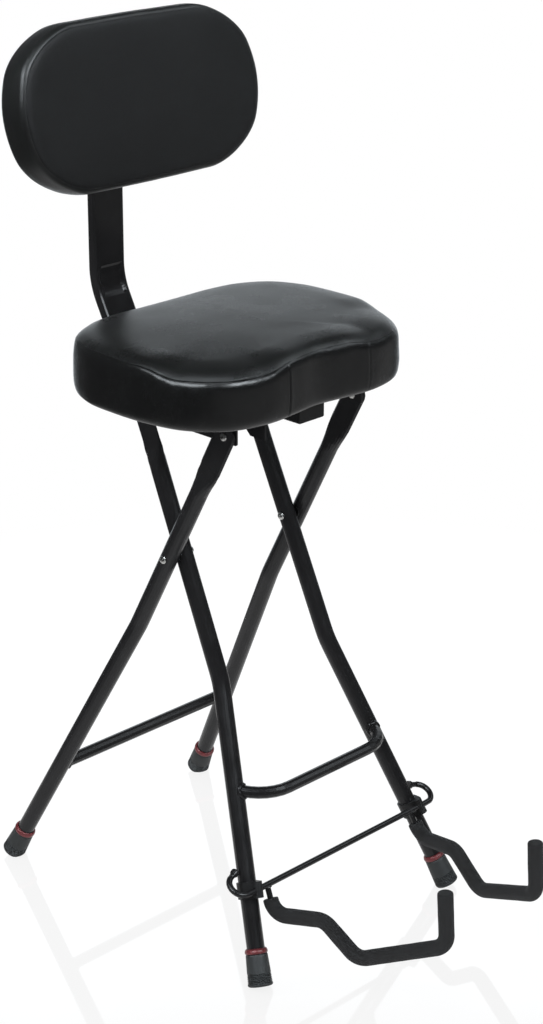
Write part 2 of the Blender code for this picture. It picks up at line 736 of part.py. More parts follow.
def make_arm(side, word, steel, foam):
    """One arm's bent rod in its foam sleeve."""
    rod = tube("rest_arm_" + word, arm_line(side, ARM_START, 0.0), ROD_D / 2, steel, 2)
    sleeve = tube("foam_sleeve_" + word, arm_line(side, SLEEVE_START, SLEEVE_END), SLEEVE_D / 2, foam)
    bore = tube("sleeve_bore_" + word, arm_line(side, 0.0, CLEARANCE), ROD_D / 2 + CLEARANCE, None, 2)
    cut(sleeve, hide(bore))
    return rod, sleeve


def make_collar(side, word, plastic):
    """Collar on a front leg, with a boss in front in which the rod turns."""
    here = Vector((side * front_x(-ROD_DROP), 0, -ROD_DROP))
    above = Vector((side * front_x(-ROD_DROP + TUBE_D), 0, -ROD_DROP + TUBE_D))
    tilt = Matrix.Rotation(atan2(above.x - here.x, above.z - here.z), 4, "Y")
    matrix = FRONT_FRAME @ Matrix.Translation(here) @ tilt
    ring_r = TUBE_D / 2 + CLEARANCE + COLLAR_WALL
    boss_r = COLLAR_BOSS_D / 2
    touch = acos((ring_r - boss_r) / ROD_OFFSET)
    outline = []
    for i in range(4 * ARC_STEPS + 1):
        angle = -pi / 2 + touch + (2 * pi - 2 * touch) * i / (4 * ARC_STEPS)
        outline.append((ring_r * cos(angle), ring_r * sin(angle)))
    for i in range(2 * ARC_STEPS + 1):
        angle = -pi / 2 - touch + 2 * touch * i / (2 * ARC_STEPS)
        outline.append((boss_r * cos(angle), boss_r * sin(angle) - ROD_OFFSET))
    collar = plate("rest_collar_" + word, [outline], COLLAR_H, matrix, plastic)
    bore = hide(cylinder("collar_bore_" + word, TUBE_D / 2 + CLEARANCE, 2 * COLLAR_H, matrix, sides=SIDES))
    x = side * front_x(-ROD_DROP)
    hole = pin_hole("collar_hole_" + word, ROD_D / 2 + CLEARANCE, x - TUBE_D, x + TUBE_D, ROD)
    return cut(collar, bore, hole)


# Seat
def seat_outline():
    """Plan of the seat about its middle, anticlockwise from the front."""
    half = []
    for x, y in zip(SEAT_FRONT_X_SHARES, SEAT_FRONT_Y_SHARES):
        half.append(Vector((SEAT_HALF_W * x, -SEAT_FRONT * y)))
    for x, y in zip(SEAT_REAR_X_SHARES, SEAT_REAR_Y_SHARES):
        half.append(Vector((SEAT_HALF_W * x, SEAT_REAR * y)))
    points = half + [Vector((0, SEAT_REAR))]
    points += [Vector((-point.x, point.y)) for point in reversed(half[1:])]
    return smooth_loop(points, 2)


def level(loop, z):
    return [Vector((point.x, point.y, z)) for point in loop]


def make_cushion(vinyl):
    """Foam cushion in its cover: open below for the board, rounded edges, crowned top."""
    outline = seat_outline()
    pocket = inset(outline, SEAT_BOARD_INSET - CLEARANCE)
    rings = [level(pocket, SEAT_BOARD_T + CLEARANCE), level(pocket, 0)]
    for depth, height in edge_arc(SEAT_FOOT_R):
        rings.append(level(inset(outline, depth), height))
    seam = SEAT_T - SEAT_SEAM_DROP
    rings.append(level(outline, seam - SEAT_SEAM))
    rings.append(level(inset(outline, SEAT_SEAM), seam))
    for depth, height in list(reversed(edge_arc(SEAT_TOP_R)))[1:]:
        rings.append(level(inset(outline, depth), SEAT_T - height))
    rim = inset(outline, SEAT_TOP_R)
    for share in SEAT_RING_SHARES:
        crown = SEAT_CROWN * (1 - share ** 2)
        rings.append(level([point * share for point in rim], SEAT_T + crown))
    return loft("seat_cushion", rings, Matrix.Translation(SEAT), vinyl)


def make_seat_board(wood, screw_points, bolt_points):
    """Plywood base let into the cushion, with blind holes for its screws."""
    outline = inset(seat_outline(), SEAT_BOARD_INSET)
    board = loft("seat_board", [level(outline, 0), level(outline, SEAT_BOARD_T)],
                 Matrix.Translation(SEAT), wood)
    depth = SCREW_BITE + CLEARANCE
    for points, radius in ((screw_points, SCREW_D / 2), (bolt_points, BOLT_D / 2)):
        for i, point in enumerate(points):
            matrix = Matrix.Translation(Vector((point[0], point[1], BOARD_BOTTOM + depth - OVERRUN / 2)))
            name = "board_hole_%d_%d" % (i, round(radius * 10000))
            cut(board, hide(cylinder(name, radius + CLEARANCE, OVERRUN, matrix)))
    return board


def rail_screw_places():
    """Screws of the two side rails, seen in plan."""
    x = RAIL_OUT - RAIL_FLANGE / 2 - RAIL_T / 2
    ys = (PIVOT.y + RAIL_SCREW_INSET, LATCH.y - RAIL_SCREW_INSET)
    return [(side * x, y) for side, word in SIDES_OF for y in ys]


def make_side_rail(side, word, steel, floor_screws):
    """Folded angle under the seat, with the pivot hole and the slot for the latch pin."""
    front, rear = PIVOT.y - RAIL_FRONT, LATCH.y + RAIL_REAR
    out, inn, top = RAIL_OUT, RAIL_OUT - RAIL_FLANGE, RAIL_TOP
    low = top - RAIL_DEPTH
    points = [(out - RAIL_T, low), (out, low), (out, top), (inn, top), (inn, top - RAIL_T)]
    points.append((out - RAIL_T, top - RAIL_T))
    outline = rounded_outline(points, [0, 0, RAIL_BEND_R, 0, 0, RAIL_BEND_R - RAIL_T])
    if side < 0:
        outline = [Vector((-point.x, point.y, 0)) for point in reversed(outline)]
    matrix = Matrix.Translation(Vector((0, (front + rear) / 2, 0))) @ LENGTHWISE
    rail = plate("side_rail_" + word, [outline], rear - front, matrix, steel)

    x_mid = side * (out - RAIL_T / 2)
    for y, sign in ((front, 1), (rear, -1)):
        corner = [(y - sign * OVERRUN, low - OVERRUN), (y + sign * RAIL_CORNER, low - OVERRUN)]
        corner += [(y + sign * RAIL_CORNER, low), (y, low + RAIL_CORNER), (y - sign * OVERRUN, low + RAIL_CORNER)]
        matrix = Matrix.Translation(Vector((x_mid, 0, 0))) @ SIDEWAYS
        cut(rail, hide(plate("rail_corner_%s_%d" % (word, sign), [corner], 2 * RAIL_T, matrix)))

    radius = RIVET_D / 2 + CLEARANCE
    cut(rail, pin_hole("rail_pivot_hole_" + word, radius, x_mid - RAIL_T, x_mid + RAIL_T, PIVOT))
    matrix = Matrix.Translation(Vector((x_mid, LATCH.y, LATCH.z))) @ Matrix.Rotation(slot_turn(), 4, "X") @ SIDEWAYS
    wide = PIN_D / 2 + PIN_PLAY
    slot = [(wide * cos(pi / 2 + pi * i / ROUND), wide * sin(pi / 2 + pi * i / ROUND)) for i in range(ROUND + 1)]
    slot += [(RAIL_DEPTH, -wide), (RAIL_DEPTH, wide)]
    cut(rail, hide(plate("rail_slot_" + word, [slot], 2 * RAIL_T, matrix)))
    for i, point in enumerate(floor_screws):
        matrix = Matrix.Translation(Vector((point[0], point[1], top)))
        name = "flange_hole_%s_%d" % (word, i)
        cut(rail, hide(cylinder(name, SCREW_D / 2 + CLEARANCE, OVERRUN, matrix)))
    return rail


def slot_turn():
    """Angle in the side view along which the latch pin leaves its slot."""
    about_cross, about_pivot = LATCH - CROSS, LATCH - PIVOT
    move_y = -about_cross.z + SEAT_RATIO * about_pivot.z
    move_z = about_cross.y - SEAT_RATIO * about_pivot.y
    return atan2(move_z, move_y)


def lug_screw_place():
    return (-LUG_X + LUG_FLANGE / 2, PIVOT.y - LUG_FRONT + LUG_LENGTH / 2)


def make_lug(steel):
    """Small angle under the left side of the seat."""
    front = PIVOT.y - LUG_FRONT
    rear, top, low = front + LUG_LENGTH, RAIL_TOP, RAIL_TOP - LUG_DEPTH
    out, inn = -LUG_X - RAIL_T, -LUG_X + LUG_FLANGE
    points = [(out, low), (out + RAIL_T, low), (out + RAIL_T, top - RAIL_T), (inn, top - RAIL_T)]
    points += [(inn, top), (out, top)]
    outline = rounded_outline(points, [0, 0, RAIL_BEND_R - RAIL_T, 0, 0, RAIL_BEND_R])
    matrix = Matrix.Translation(Vector((0, (front + rear) / 2, 0))) @ LENGTHWISE
    lug = plate("seat_lug", [outline], LUG_LENGTH, matrix, steel)
    corner = [(rear - LUG_CHAMFER, low), (rear - LUG_CHAMFER, low - OVERRUN), (rear + OVERRUN, low - OVERRUN)]
    corner += [(rear + OVERRUN, low + LUG_CHAMFER), (rear, low + LUG_CHAMFER)]
    matrix = Matrix.Translation(Vector((out + RAIL_T / 2, 0, 0))) @ SIDEWAYS
    cut(lug, hide(plate("lug_corner", [corner], 2 * RAIL_T, matrix)))
    x, y = lug_screw_place()
    matrix = Matrix.Translation(Vector((x, y, top)))
    hole = cylinder("lug_hole", SCREW_D / 2 + CLEARANCE, OVERRUN, matrix)
    return cut(lug, hide(hole))


def centre_ends():
    return SEAT.y - SEAT_FRONT + CENTRE_FRONT_INSET, SEAT.y + SEAT_REAR - CENTRE_REAR_INSET


def post_bolt_places():
    return [(0, SEAT.y + BOLT_FRONT), (0, SEAT.y + BOLT_REAR)]


def make_centre_rail(steel):
    """Square tube along the middle of the seat."""
    front, rear = centre_ends()
    outer = rectangle(CENTRE_W, CENTRE_H, CENTRE_CORNER)
    inner = rectangle(CENTRE_W - 2 * CENTRE_WALL, CENTRE_H - 2 * CENTRE_WALL, CENTRE_CORNER - CENTRE_WALL)
    matrix = Matrix.Translation(Vector((0, (front + rear) / 2, RAIL_TOP - CENTRE_H / 2))) @ LENGTHWISE
    rail = plate("centre_rail", [outer, inner], rear - front, matrix, steel)
    for i, (x, y) in enumerate(post_bolt_places()):
        matrix = Matrix.Translation(Vector((x, y, RAIL_TOP - CENTRE_H / 2)))
        cut(rail, hide(cylinder("rail_bolt_hole_%d" % i, BOLT_D / 2 + CLEARANCE, 2 * CENTRE_H, matrix)))
    return rail


def end_cap(name, matrix, width, height, wall, corner, plastic):
    """Plastic plug for a tube's end: its head lies on the end, local +Z points out."""
    loose = wall + CLEARANCE
    plug_w, plug_h, plug_r = width - 2 * loose, height - 2 * loose, max(corner - loose, corner / 4)
    edge = CAP_T / 3
    sections = [(plug_w, plug_h, plug_r, -CAP_PLUG), (plug_w, plug_h, plug_r, CLEARANCE)]
    sections += [(width, height, corner, CLEARANCE), (width, height, corner, CAP_T - edge)]
    sections.append((width - 2 * edge, height - 2 * edge, max(corner - edge, corner / 4), CAP_T))
    rings = [level(rectangle(w, h, r, 2), z) for w, h, r, z in sections]
    return loft(name, rings, matrix, plastic)


# Backrest
def post_line():
    """Middle line of the post in the side view, from its top down to its foot's end."""
    lean = radians(POST_LEAN_DEG)
    foot_z = CENTRE_BOTTOM - CLEARANCE - POST_T / 2
    corner = Vector((0, POST_Y, BOARD_BOTTOM + POST_BEND_RISE))
    knee = Vector((0, POST_Y - (corner.z - foot_z) * tan(lean), foot_z))
    top = Vector((0, POST_Y, BOARD_BOTTOM + PAD_RISE + POST_OVER_PAD))
    end = Vector((0, SEAT.y + POST_FOOT_FRONT, foot_z))
    upper = fillet(top, corner, knee, POST_BEND_R, 4 * ARC_STEPS)
    lower = fillet(corner, knee, end, POST_FOOT_R, 2 * ARC_STEPS)
    return [top] + upper + lower + [end], len(upper)


def post_section(offset, dent):
    """Flat oval of the post; the face at +Y is the inside of its bends."""
    half_w, half_t, r = POST_W / 2 - offset, POST_T / 2 - offset, POST_CORNER - offset
    outline = rounded_outline([(-half_w, -half_t), (half_w, -half_t), (half_w, half_t), (-half_w, half_t)],
                              [max(r, POST_CORNER / 4)] * 4, 2)
    face = [(half_w - DENT_RIM, half_t), (half_w - 2 * DENT_RIM, half_t - dent)]
    face += [(-x, y) for x, y in reversed(face)]
    return outline[:9] + [Vector((x, y, 0)) for x, y in face] + outline[9:]


def make_post(steel, bolt_holes):
    """Bent flat tube that carries the backrest, pressed in on the inside of its upper bend."""
    line, bend_points = post_line()
    rings, bore = [], []
    for i, point in enumerate(line):
        before, after = line[max(i - 1, 0)], line[min(i + 1, len(line) - 1)]
        along = (after - before).normalized()
        inside = Vector((0, along.z, -along.y))
        share = (i - 1) / (bend_points - 1)
        dent = DENT_DEPTH * sqrt(sin(pi * share)) if 0 < share < 1 else 0.0
        for offset, target in ((0.0, rings), (POST_WALL, bore)):
            ring = [point + Vector((p.x, 0, 0)) + inside * p.y for p in post_section(offset, dent)]
            target.append(ring)
    bm = bmesh.new()
    loops = [[bm.verts.new(p) for p in ring] for ring in rings + list(reversed(bore))]
    count = len(loops[0])
    for near, far in zip(loops, loops[1:] + loops[:1]):
        for i in range(count):
            j = (i + 1) % count
            bm.faces.new((near[i], near[j], far[j], far[i]))
    post = place("backrest_post", mesh_from(bm, "backrest_post"), steel, Matrix.Identity(4))
    for hole in bolt_holes:
        cut(post, hole)
    return post


def pad_outline(shrink=0.0):
    """Front view of the pad, anticlockwise: rounded ends and slightly crowned long edges."""
    half_w, half_h = PAD_HALF_W - shrink, PAD_HALF_H - shrink
    corner = PAD_CORNER - shrink
    quarter = [(half_w, 0.0), (half_w, (half_h - corner) / 2)]
    for i in range(PAD_CORNER_STEPS):
        turn = pi / 2 * i / PAD_CORNER_STEPS
        quarter.append((half_w - corner * (1 - cos(turn)), half_h - corner * (1 - sin(turn))))
    quarter += [((half_w - corner) * share, half_h) for share in (1.0, 0.66, 0.33)]
    shaped = []
    for x, z in quarter:
        crowned = z - PAD_CROWN * (x / half_w) ** 2 * (z / half_h)
        shaped.append(Vector((x - PAD_PINCH * (crowned / half_h) ** 2, crowned)))
    top = [Vector((0, half_h))]
    left = [Vector((-p.x, p.y)) for p in reversed(shaped)]
    upper = shaped + top + left
    lower = [Vector((p.x, -p.y)) for p in reversed(upper[1:-1])]
    return upper + lower


def pad_ring(loop, depth, scale_share=1.0, swell=0.0):
    """Bend a loop of the front view to the pad's bow, at a depth from its middle."""
    ring = []
    for point in loop:
        x, z = point.x * scale_share, point.y * scale_share
        ring.append(Vector((x, depth - swell - PAD_BOW * (x / PAD_HALF_W) ** 2, z)))
    return ring


def make_pad(vinyl):
    """Upholstered backrest pad, open behind for its board."""
    board = pad_outline(PAD_BOARD_INSET - CLEARANCE)
    back, front = PAD_T / 2, -PAD_T / 2
    rings = [pad_ring(board, back - PAD_BOARD_T - CLEARANCE, share) for share in reversed(PAD_RING_SHARES)]
    rings += [pad_ring(board, back - PAD_BOARD_T - CLEARANCE), pad_ring(board, back)]
    for depth, height in edge_arc(PAD_BACK_R):
        rings.append(pad_ring(pad_outline(depth), back - height))
    for depth, height in reversed(edge_arc(PAD_FRONT_R)):
        rings.append(pad_ring(pad_outline(depth), front + height))
    rim = pad_outline(PAD_FRONT_R)
    for share in PAD_RING_SHARES:
        rings.append(pad_ring(rim, front, share, PAD_FACE_CROWN * (1 - share ** 2)))
    return loft("backrest_cushion", rings, PAD, vinyl)


def make_pad_board(wood, screw_places):
    """Bowed plywood back of the pad."""
    outline = pad_outline(PAD_BOARD_INSET)
    back = PAD_T / 2
    rings = [pad_ring(outline, back, share) for share in reversed(PAD_RING_SHARES)]
    rings += [pad_ring(outline, back), pad_ring(outline, back - PAD_BOARD_T)]
    rings += [pad_ring(outline, back - PAD_BOARD_T, share) for share in PAD_RING_SHARES]
    board = loft("backrest_board", rings, PAD, wood)
    depth = SCREW_BITE + CLEARANCE
    for i, (x, z) in enumerate(screw_places):
        matrix = PAD @ Matrix.Translation(Vector((x, back - depth + OVERRUN / 2, z))) @ LENGTHWISE
        hole = cylinder("pad_hole_%d" % i, SCREW_D / 2 + CLEARANCE, OVERRUN, matrix)
        cut(board, hide(hole))
    return board


def bracket_screw_places():
    return [(x * BRACKET_SCREW_X, z * BRACKET_SCREW_Z) for z in (1, -1) for x in (-1, 1)]


def bracket_bolt_places():
    middle = PAD @ Vector((0, PAD_T / 2, 0))
    return [Vector((0, POST_Y, middle.z + sign * BRACKET_BOLT_HALF)) for sign in (1, -1)]


def make_bracket(steel, bolt_holes):
    """Folded channel between the pad's board and the post."""
    face = PAD_T / 2 + CLEARANCE
    outline = rectangle(2 * BRACKET_HALF_W, 2 * BRACKET_HALF_H, BRACKET_CORNER)
    matrix = PAD @ Matrix.Translation(Vector((0, face + BRACKET_T / 2, 0))) @ LENGTHWISE
    bracket = plate("backrest_bracket", [outline], BRACKET_T, matrix, steel)
    mid = face + BRACKET_T / 2
    upper = PAD @ Vector((0, mid, BRACKET_FLANGE_HALF_H))
    lower = PAD @ Vector((0, mid, -BRACKET_FLANGE_HALF_H))
    behind = POST_Y + POST_T / 2 + BRACKET_LAP
    points = [(lower.y, lower.z), (behind, lower.z), (behind, upper.z), (upper.y, upper.z)]
    outline = rounded_outline(points, [0, BRACKET_CORNER, BRACKET_CORNER, 0])
    x = POST_W / 2 + CLEARANCE + BRACKET_T / 2
    for side, word in SIDES_OF:
        matrix = Matrix.Translation(Vector((side * x, 0, 0))) @ SIDEWAYS
        fuse(bracket, plate("bracket_flange_" + word, [outline], BRACKET_T, matrix))
    for i, (px, pz) in enumerate(bracket_screw_places()):
        matrix = PAD @ Matrix.Translation(Vector((px, mid, pz))) @ LENGTHWISE
        hole = cylinder("bracket_hole_%d" % i, SCREW_D / 2 + CLEARANCE, 2 * BRACKET_T, matrix)
        cut(bracket, hide(hole))
    return cut(bracket, *bolt_holes)


# The whole stool
def ride(axis, pieces):
    """Parent pieces to the empty on their joint's axis, where they are."""
    for piece in pieces:
        piece.parent = axis
        piece.matrix_parent_inverse = axis.matrix_world.inverted()


def joint_axis(name, point):
    empty = bpy.data.objects.new(name, None)
    empty.empty_display_size = TUBE_D
    empty.location = point
    PARTS.objects.link(empty)
    bpy.context.view_layer.update()
    return empty


SIDES_OF = ((-1, "left"), (1, "right"))
clear_scene()
PARTS = new_collection("guitar_stool")
CUTTERS = new_collection("cutters")


def make_stool():
    steel = new_material("black_powder_coat", (0.012, 0.012, 0.013), 0.42, 0.0)
    bare = new_material("zinc", (0.62, 0.62, 0.60), 0.32, 1.0)
    rubber = new_material("charcoal_rubber", (0.022, 0.024, 0.026), 0.85)
    red = new_material("red_rubber", (0.30, 0.02, 0.025), 0.7)
    foam = new_material("black_foam", (0.012, 0.012, 0.013), 0.95)
    vinyl = new_material("black_vinyl", (0.012, 0.013, 0.013), 0.38)
    wood = new_material("plywood", (0.20, 0.13, 0.07), 0.8)
    nylon = new_material("black_plastic", (0.015, 0.015, 0.016), 0.55)

    span = 4 * FRONT_FOOT_X + 4 * TIP_FOOT_D
    below = Matrix.Translation(Vector((0, CROSS_BACK, -CROSS_HEIGHT / 2)))
    floor = hide(box("floor_cut", (span, CROSS_HEIGHT * 4, CROSS_HEIGHT), below))

    screw_points, bolt_points = rail_screw_places(), post_bolt_places()
    frame_fixed, frame_front, seat, rest = [], [], [], []
    frame_fixed.append(make_crossbar(steel))
    frame_front.append(make_footrest(steel))
    for side, word in SIDES_OF:
        front_leg, rear_leg = make_legs(side, word, steel)
        frame_front.append(front_leg)
        frame_fixed.append(rear_leg)
        frame_front += make_foot(FRONT_FRAME, front_x, FRONT_FOOT_DROP, side, "front", word, rubber, red, floor)
        frame_fixed += make_foot(REAR_FRAME, rear_x, REAR_FOOT_DROP, side, "rear", word, rubber, red, floor)
        frame_fixed += make_crossing(side, word, bare, nylon)
        frame_fixed += make_pivot(side, word, bare, nylon)
        frame_front.append(make_latch_pin(side, word, steel))
        frame_front.append(make_collar(side, word, nylon))
        rest += make_arm(side, word, steel, foam)
        own = [point for point in screw_points if point[0] * side > 0]
        seat.append(make_side_rail(side, word, steel, own))
    rest.append(make_rest_rod(steel))

    seat.append(make_cushion(vinyl))
    seat.append(make_seat_board(wood, screw_points + [lug_screw_place()], bolt_points))
    seat.append(make_lug(steel))
    seat.append(make_centre_rail(steel))
    for i, (x, y) in enumerate(screw_points):
        matrix = Matrix.Translation(Vector((x, y, RAIL_TOP - RAIL_T - CLEARANCE)))
        length = RAIL_T + 2 * CLEARANCE + SCREW_BITE
        seat.append(headed_screw("rail_screw_%d" % (i + 1), matrix, length, SCREW_D, SCREW_HEAD_D,
                                 SCREW_HEAD_H, bare))
    x, y = lug_screw_place()
    matrix = Matrix.Translation(Vector((x, y, RAIL_TOP - RAIL_T - CLEARANCE)))
    length = RAIL_T + 2 * CLEARANCE + SCREW_BITE
    seat.append(headed_screw("lug_screw", matrix, length, SCREW_D, SCREW_HEAD_D, SCREW_HEAD_H, bare))

    foot_bottom = CENTRE_BOTTOM - CLEARANCE - POST_T
    bolt_holes = []
    for i, (x, y) in enumerate(bolt_points):
        matrix = Matrix.Translation(Vector((x, y, foot_bottom - CLEARANCE)))
        length = BOARD_BOTTOM + SCREW_BITE - foot_bottom + CLEARANCE
        seat.append(headed_screw("post_bolt_%d" % (i + 1), matrix, length, BOLT_D, BOLT_HEAD_D, BOLT_HEAD_H, bare))
        matrix = Matrix.Translation(Vector((x, y, foot_bottom + POST_T / 2)))
        bolt_holes.append(hide(cylinder("foot_hole_%d" % i, BOLT_D / 2 + CLEARANCE, 2 * POST_T, matrix)))
    cross_holes = []
    for i, point in enumerate(bracket_bolt_places()):
        grip = POST_W + 2 * BRACKET_T + 4 * CLEARANCE
        seat.append(rivet("bracket_bolt_%d" % (i + 1), across(0, point), grip, BOLT_D, BOLT_HEAD_D,
                          BOLT_HEAD_H, bare))
        cross_holes.append(pin_hole("bracket_bolt_hole_%d" % i, BOLT_D / 2 + CLEARANCE, -POST_W, POST_W, point))
    seat.append(make_post(steel, bolt_holes + cross_holes))
    seat.append(make_bracket(steel, cross_holes))
    seat.append(make_pad(vinyl))
    seat.append(make_pad_board(wood, bracket_screw_places()))
    for i, (x, z) in enumerate(bracket_screw_places()):
        back = PAD_T / 2 + CLEARANCE + BRACKET_T + CLEARANCE
        matrix = PAD @ Matrix.Translation(Vector((x, back, z))) @ LENGTHWISE
        length = BRACKET_T + 2 * CLEARANCE + SCREW_BITE
        seat.append(headed_screw("bracket_screw_%d" % (i + 1), matrix, length, SCREW_D, SCREW_HEAD_D,
                                 SCREW_HEAD_H, bare))

    front, rear = centre_ends()
    middle = RAIL_TOP - CENTRE_H / 2
    caps = (("centre_cap_front", front, 1), ("centre_cap_rear", rear, -1))
    for name, y, sign in caps:
        matrix = Matrix.Translation(Vector((0, y, middle))) @ Matrix.Rotation(sign * pi / 2, 4, "X")
        seat.append(end_cap(name, matrix, CENTRE_W, CENTRE_H, CENTRE_WALL, CENTRE_CORNER, nylon))
    line, _ = post_line()
    top = Matrix.Translation(line[0])
    seat.append(end_cap("post_cap_top", top, POST_W, POST_T, POST_WALL, POST_CORNER, nylon))
    foot = Matrix.Translation(line[-1]) @ LENGTHWISE
    seat.append(end_cap("post_cap_foot", foot, POST_W, POST_T, POST_WALL, POST_CORNER, nylon))

    ride(joint_axis("rear_frame_axis", CROSS), frame_fixed)
    front_axis = joint_axis("leg_fold_axis", CROSS)
    ride(front_axis, frame_front)
    ride(joint_axis("seat_fold_axis", PIVOT), seat)
    rest_axis = joint_axis("rest_swing_axis", ROD)
    ride(rest_axis, rest)
    ride(front_axis, [rest_axis])


make_stool()
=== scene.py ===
# Looks of the folding guitar stool: upholstered seat and backrest, foam-covered guitar rest,
# powder-coated frame, rubber feet, and the white studio that it stands in.
# Metres, +Z up. X runs across the stool, +Y is its back, z = 0 is the floor. Left is the -X side.
import json
from math import cos, pi, radians, sin, tan

import bmesh
import bpy
import numpy as np
from mathutils import Matrix, Vector, noise

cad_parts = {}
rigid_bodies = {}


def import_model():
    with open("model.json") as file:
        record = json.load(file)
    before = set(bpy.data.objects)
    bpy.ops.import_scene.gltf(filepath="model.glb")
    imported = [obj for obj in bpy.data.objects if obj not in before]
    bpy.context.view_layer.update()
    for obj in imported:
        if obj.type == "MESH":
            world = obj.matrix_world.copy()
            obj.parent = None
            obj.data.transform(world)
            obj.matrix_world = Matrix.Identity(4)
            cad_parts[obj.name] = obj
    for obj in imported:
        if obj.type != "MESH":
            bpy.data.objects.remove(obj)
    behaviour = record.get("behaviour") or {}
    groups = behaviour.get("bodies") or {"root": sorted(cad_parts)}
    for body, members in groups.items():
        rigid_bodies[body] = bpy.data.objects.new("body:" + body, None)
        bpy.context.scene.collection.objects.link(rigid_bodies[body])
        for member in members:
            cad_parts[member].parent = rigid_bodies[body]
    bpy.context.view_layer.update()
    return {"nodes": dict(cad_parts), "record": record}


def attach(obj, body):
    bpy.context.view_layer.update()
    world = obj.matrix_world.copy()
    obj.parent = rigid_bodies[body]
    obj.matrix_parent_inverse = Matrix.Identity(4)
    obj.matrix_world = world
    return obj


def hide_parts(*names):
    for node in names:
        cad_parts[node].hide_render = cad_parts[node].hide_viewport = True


for leftover in list(bpy.data.objects):
    bpy.data.objects.remove(leftover, do_unlink=True)
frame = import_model()
NODES = frame["nodes"]
SCENE = bpy.context.scene

# Places of the frame, as in the CAD
CROSS = Vector((0.0, 0.0855, 0.4843))                 # middle of the two crossing rivets
FRONT_LEGS = Matrix.Translation(CROSS) @ Matrix.Rotation(-radians(24.06), 4, "X")
REAR_LEGS = Matrix.Translation(CROSS) @ Matrix.Rotation(radians(27.71), 4, "X")
FRONT_LINE = ((0.0937, 0.1652), (0.1731, 0.52655))   # x and drop at a front leg's bend and foot
REAR_LINE = ((0.1160, 0.1183), (0.1712, 0.54309))
LEG_R = 0.0111
ROD = Vector((0.0, -0.09945, 0.11420))                # middle of the guitar rest's cross rod
ROD_R = 0.0038
SEAT = Vector((0.0, 0.095936, 0.683548))              # middle of the seat's underside
PAD = Matrix.Translation(SEAT + Vector((0, 0.1675, 0.3188))) @ Matrix.Rotation(-radians(10.8), 4, "X")
SIDES_OF = ((-1, "left"), (1, "right"))


# Making shader nodes
def add(tree, kind, inputs=None, **settings):
    """Add a node. An input is a value, or the socket of another node."""
    made = tree.nodes.new(kind)
    for name, value in settings.items():
        setattr(made, name, value)
    for name, value in (inputs or {}).items():
        if isinstance(value, bpy.types.NodeSocket):
            tree.links.new(value, made.inputs[name])
        else:
            made.inputs[name].default_value = value
    return made


def maths(tree, operation, first, second=0.0, third=0.0):
    node = add(tree, "ShaderNodeMath", {0: first, 1: second, 2: third}, operation=operation)
    return node.outputs[0]


def blend(tree, share, first, second):
    """Mix two colours by a share that changes over the surface."""
    node = add(tree, "ShaderNodeMix", data_type="RGBA")
    for name, value in (("Factor_Float", share), ("A_Color", first), ("B_Color", second)):
        socket = next(s for s in node.inputs if s.identifier == name)
        if isinstance(value, bpy.types.NodeSocket):
            tree.links.new(value, socket)
        else:
            socket.default_value = value
    return next(s for s in node.outputs if s.identifier == "Result_Color")


def dot(tree, first, second):
    node = add(tree, "ShaderNodeVectorMath", {0: first, 1: second}, operation="DOT_PRODUCT")
    return node.outputs["Value"]


def object_place(tree):
    return add(tree, "ShaderNodeTexCoord").outputs["Object"]


def ramp(tree, value, low, high, out_low=0.0, out_high=1.0):
    inputs = {"Value": value, "From Min": low, "From Max": high, "To Min": out_low, "To Max": out_high}
    return add(tree, "ShaderNodeMapRange", inputs).outputs["Result"]


def new_group(name, inputs, outputs):
    """A shader node group with named number inputs and named outputs."""
    tree = bpy.data.node_groups.new(name, "ShaderNodeTree")
    for label, value in inputs:
        socket = tree.interface.new_socket(label, in_out="INPUT", socket_type="NodeSocketFloat")
        socket.default_value = value
    for label, kind in outputs:
        tree.interface.new_socket(label, in_out="OUTPUT", socket_type="NodeSocket" + kind)
    return tree, tree.nodes.new("NodeGroupInput").outputs, tree.nodes.new("NodeGroupOutput")


def put(tree, group, **inputs):
    """Place a group in a material with its own values."""
    node = add(tree, "ShaderNodeGroup", node_tree=group)
    for label, value in inputs.items():
        socket = node.inputs[label.replace("_", " ").capitalize()]
        if isinstance(value, bpy.types.NodeSocket):
            tree.links.new(value, socket)
        else:
            socket.default_value = value
    return node.outputs


# Effects that several finishes share
def leather_grain():
    """Pebbled grain of pressed vinyl, with finer creases between the pebbles."""
    tree, given, out = new_group("leather grain", (("Cell size", 0.0015), ("Unevenness", 0.35)),
                                 (("Height", "Float"), ("Creases", "Float")))
    where = object_place(tree)
    scale = maths(tree, "DIVIDE", 1.0, given["Cell size"])
    wander = add(tree, "ShaderNodeTexNoise", {"Vector": where, "Scale": 160.0, "Detail": 2.0})
    push = add(tree, "ShaderNodeVectorMath", {0: wander.outputs["Color"], 1: (0.5, 0.5, 0.5)},
               operation="SUBTRACT")
    amount = maths(tree, "MULTIPLY", given["Unevenness"], given["Cell size"])
    push = add(tree, "ShaderNodeVectorMath", {0: push.outputs[0], "Scale": amount}, operation="SCALE")
    moved = add(tree, "ShaderNodeVectorMath", {0: where, 1: push.outputs[0]}, operation="ADD")
    cells = add(tree, "ShaderNodeTexVoronoi", {"Vector": moved.outputs[0], "Scale": scale},
                feature="DISTANCE_TO_EDGE")
    pebble = ramp(tree, cells.outputs["Distance"], 0.0, 0.16)
    fine = add(tree, "ShaderNodeTexNoise", {"Vector": where, "Scale": 2600.0, "Detail": 3.0})
    height = maths(tree, "MULTIPLY_ADD", fine.outputs["Fac"], 0.25, pebble)
    tree.links.new(height, out.inputs["Height"])
    tree.links.new(maths(tree, "SUBTRACT", 1.0, pebble), out.inputs["Creases"])
    return tree


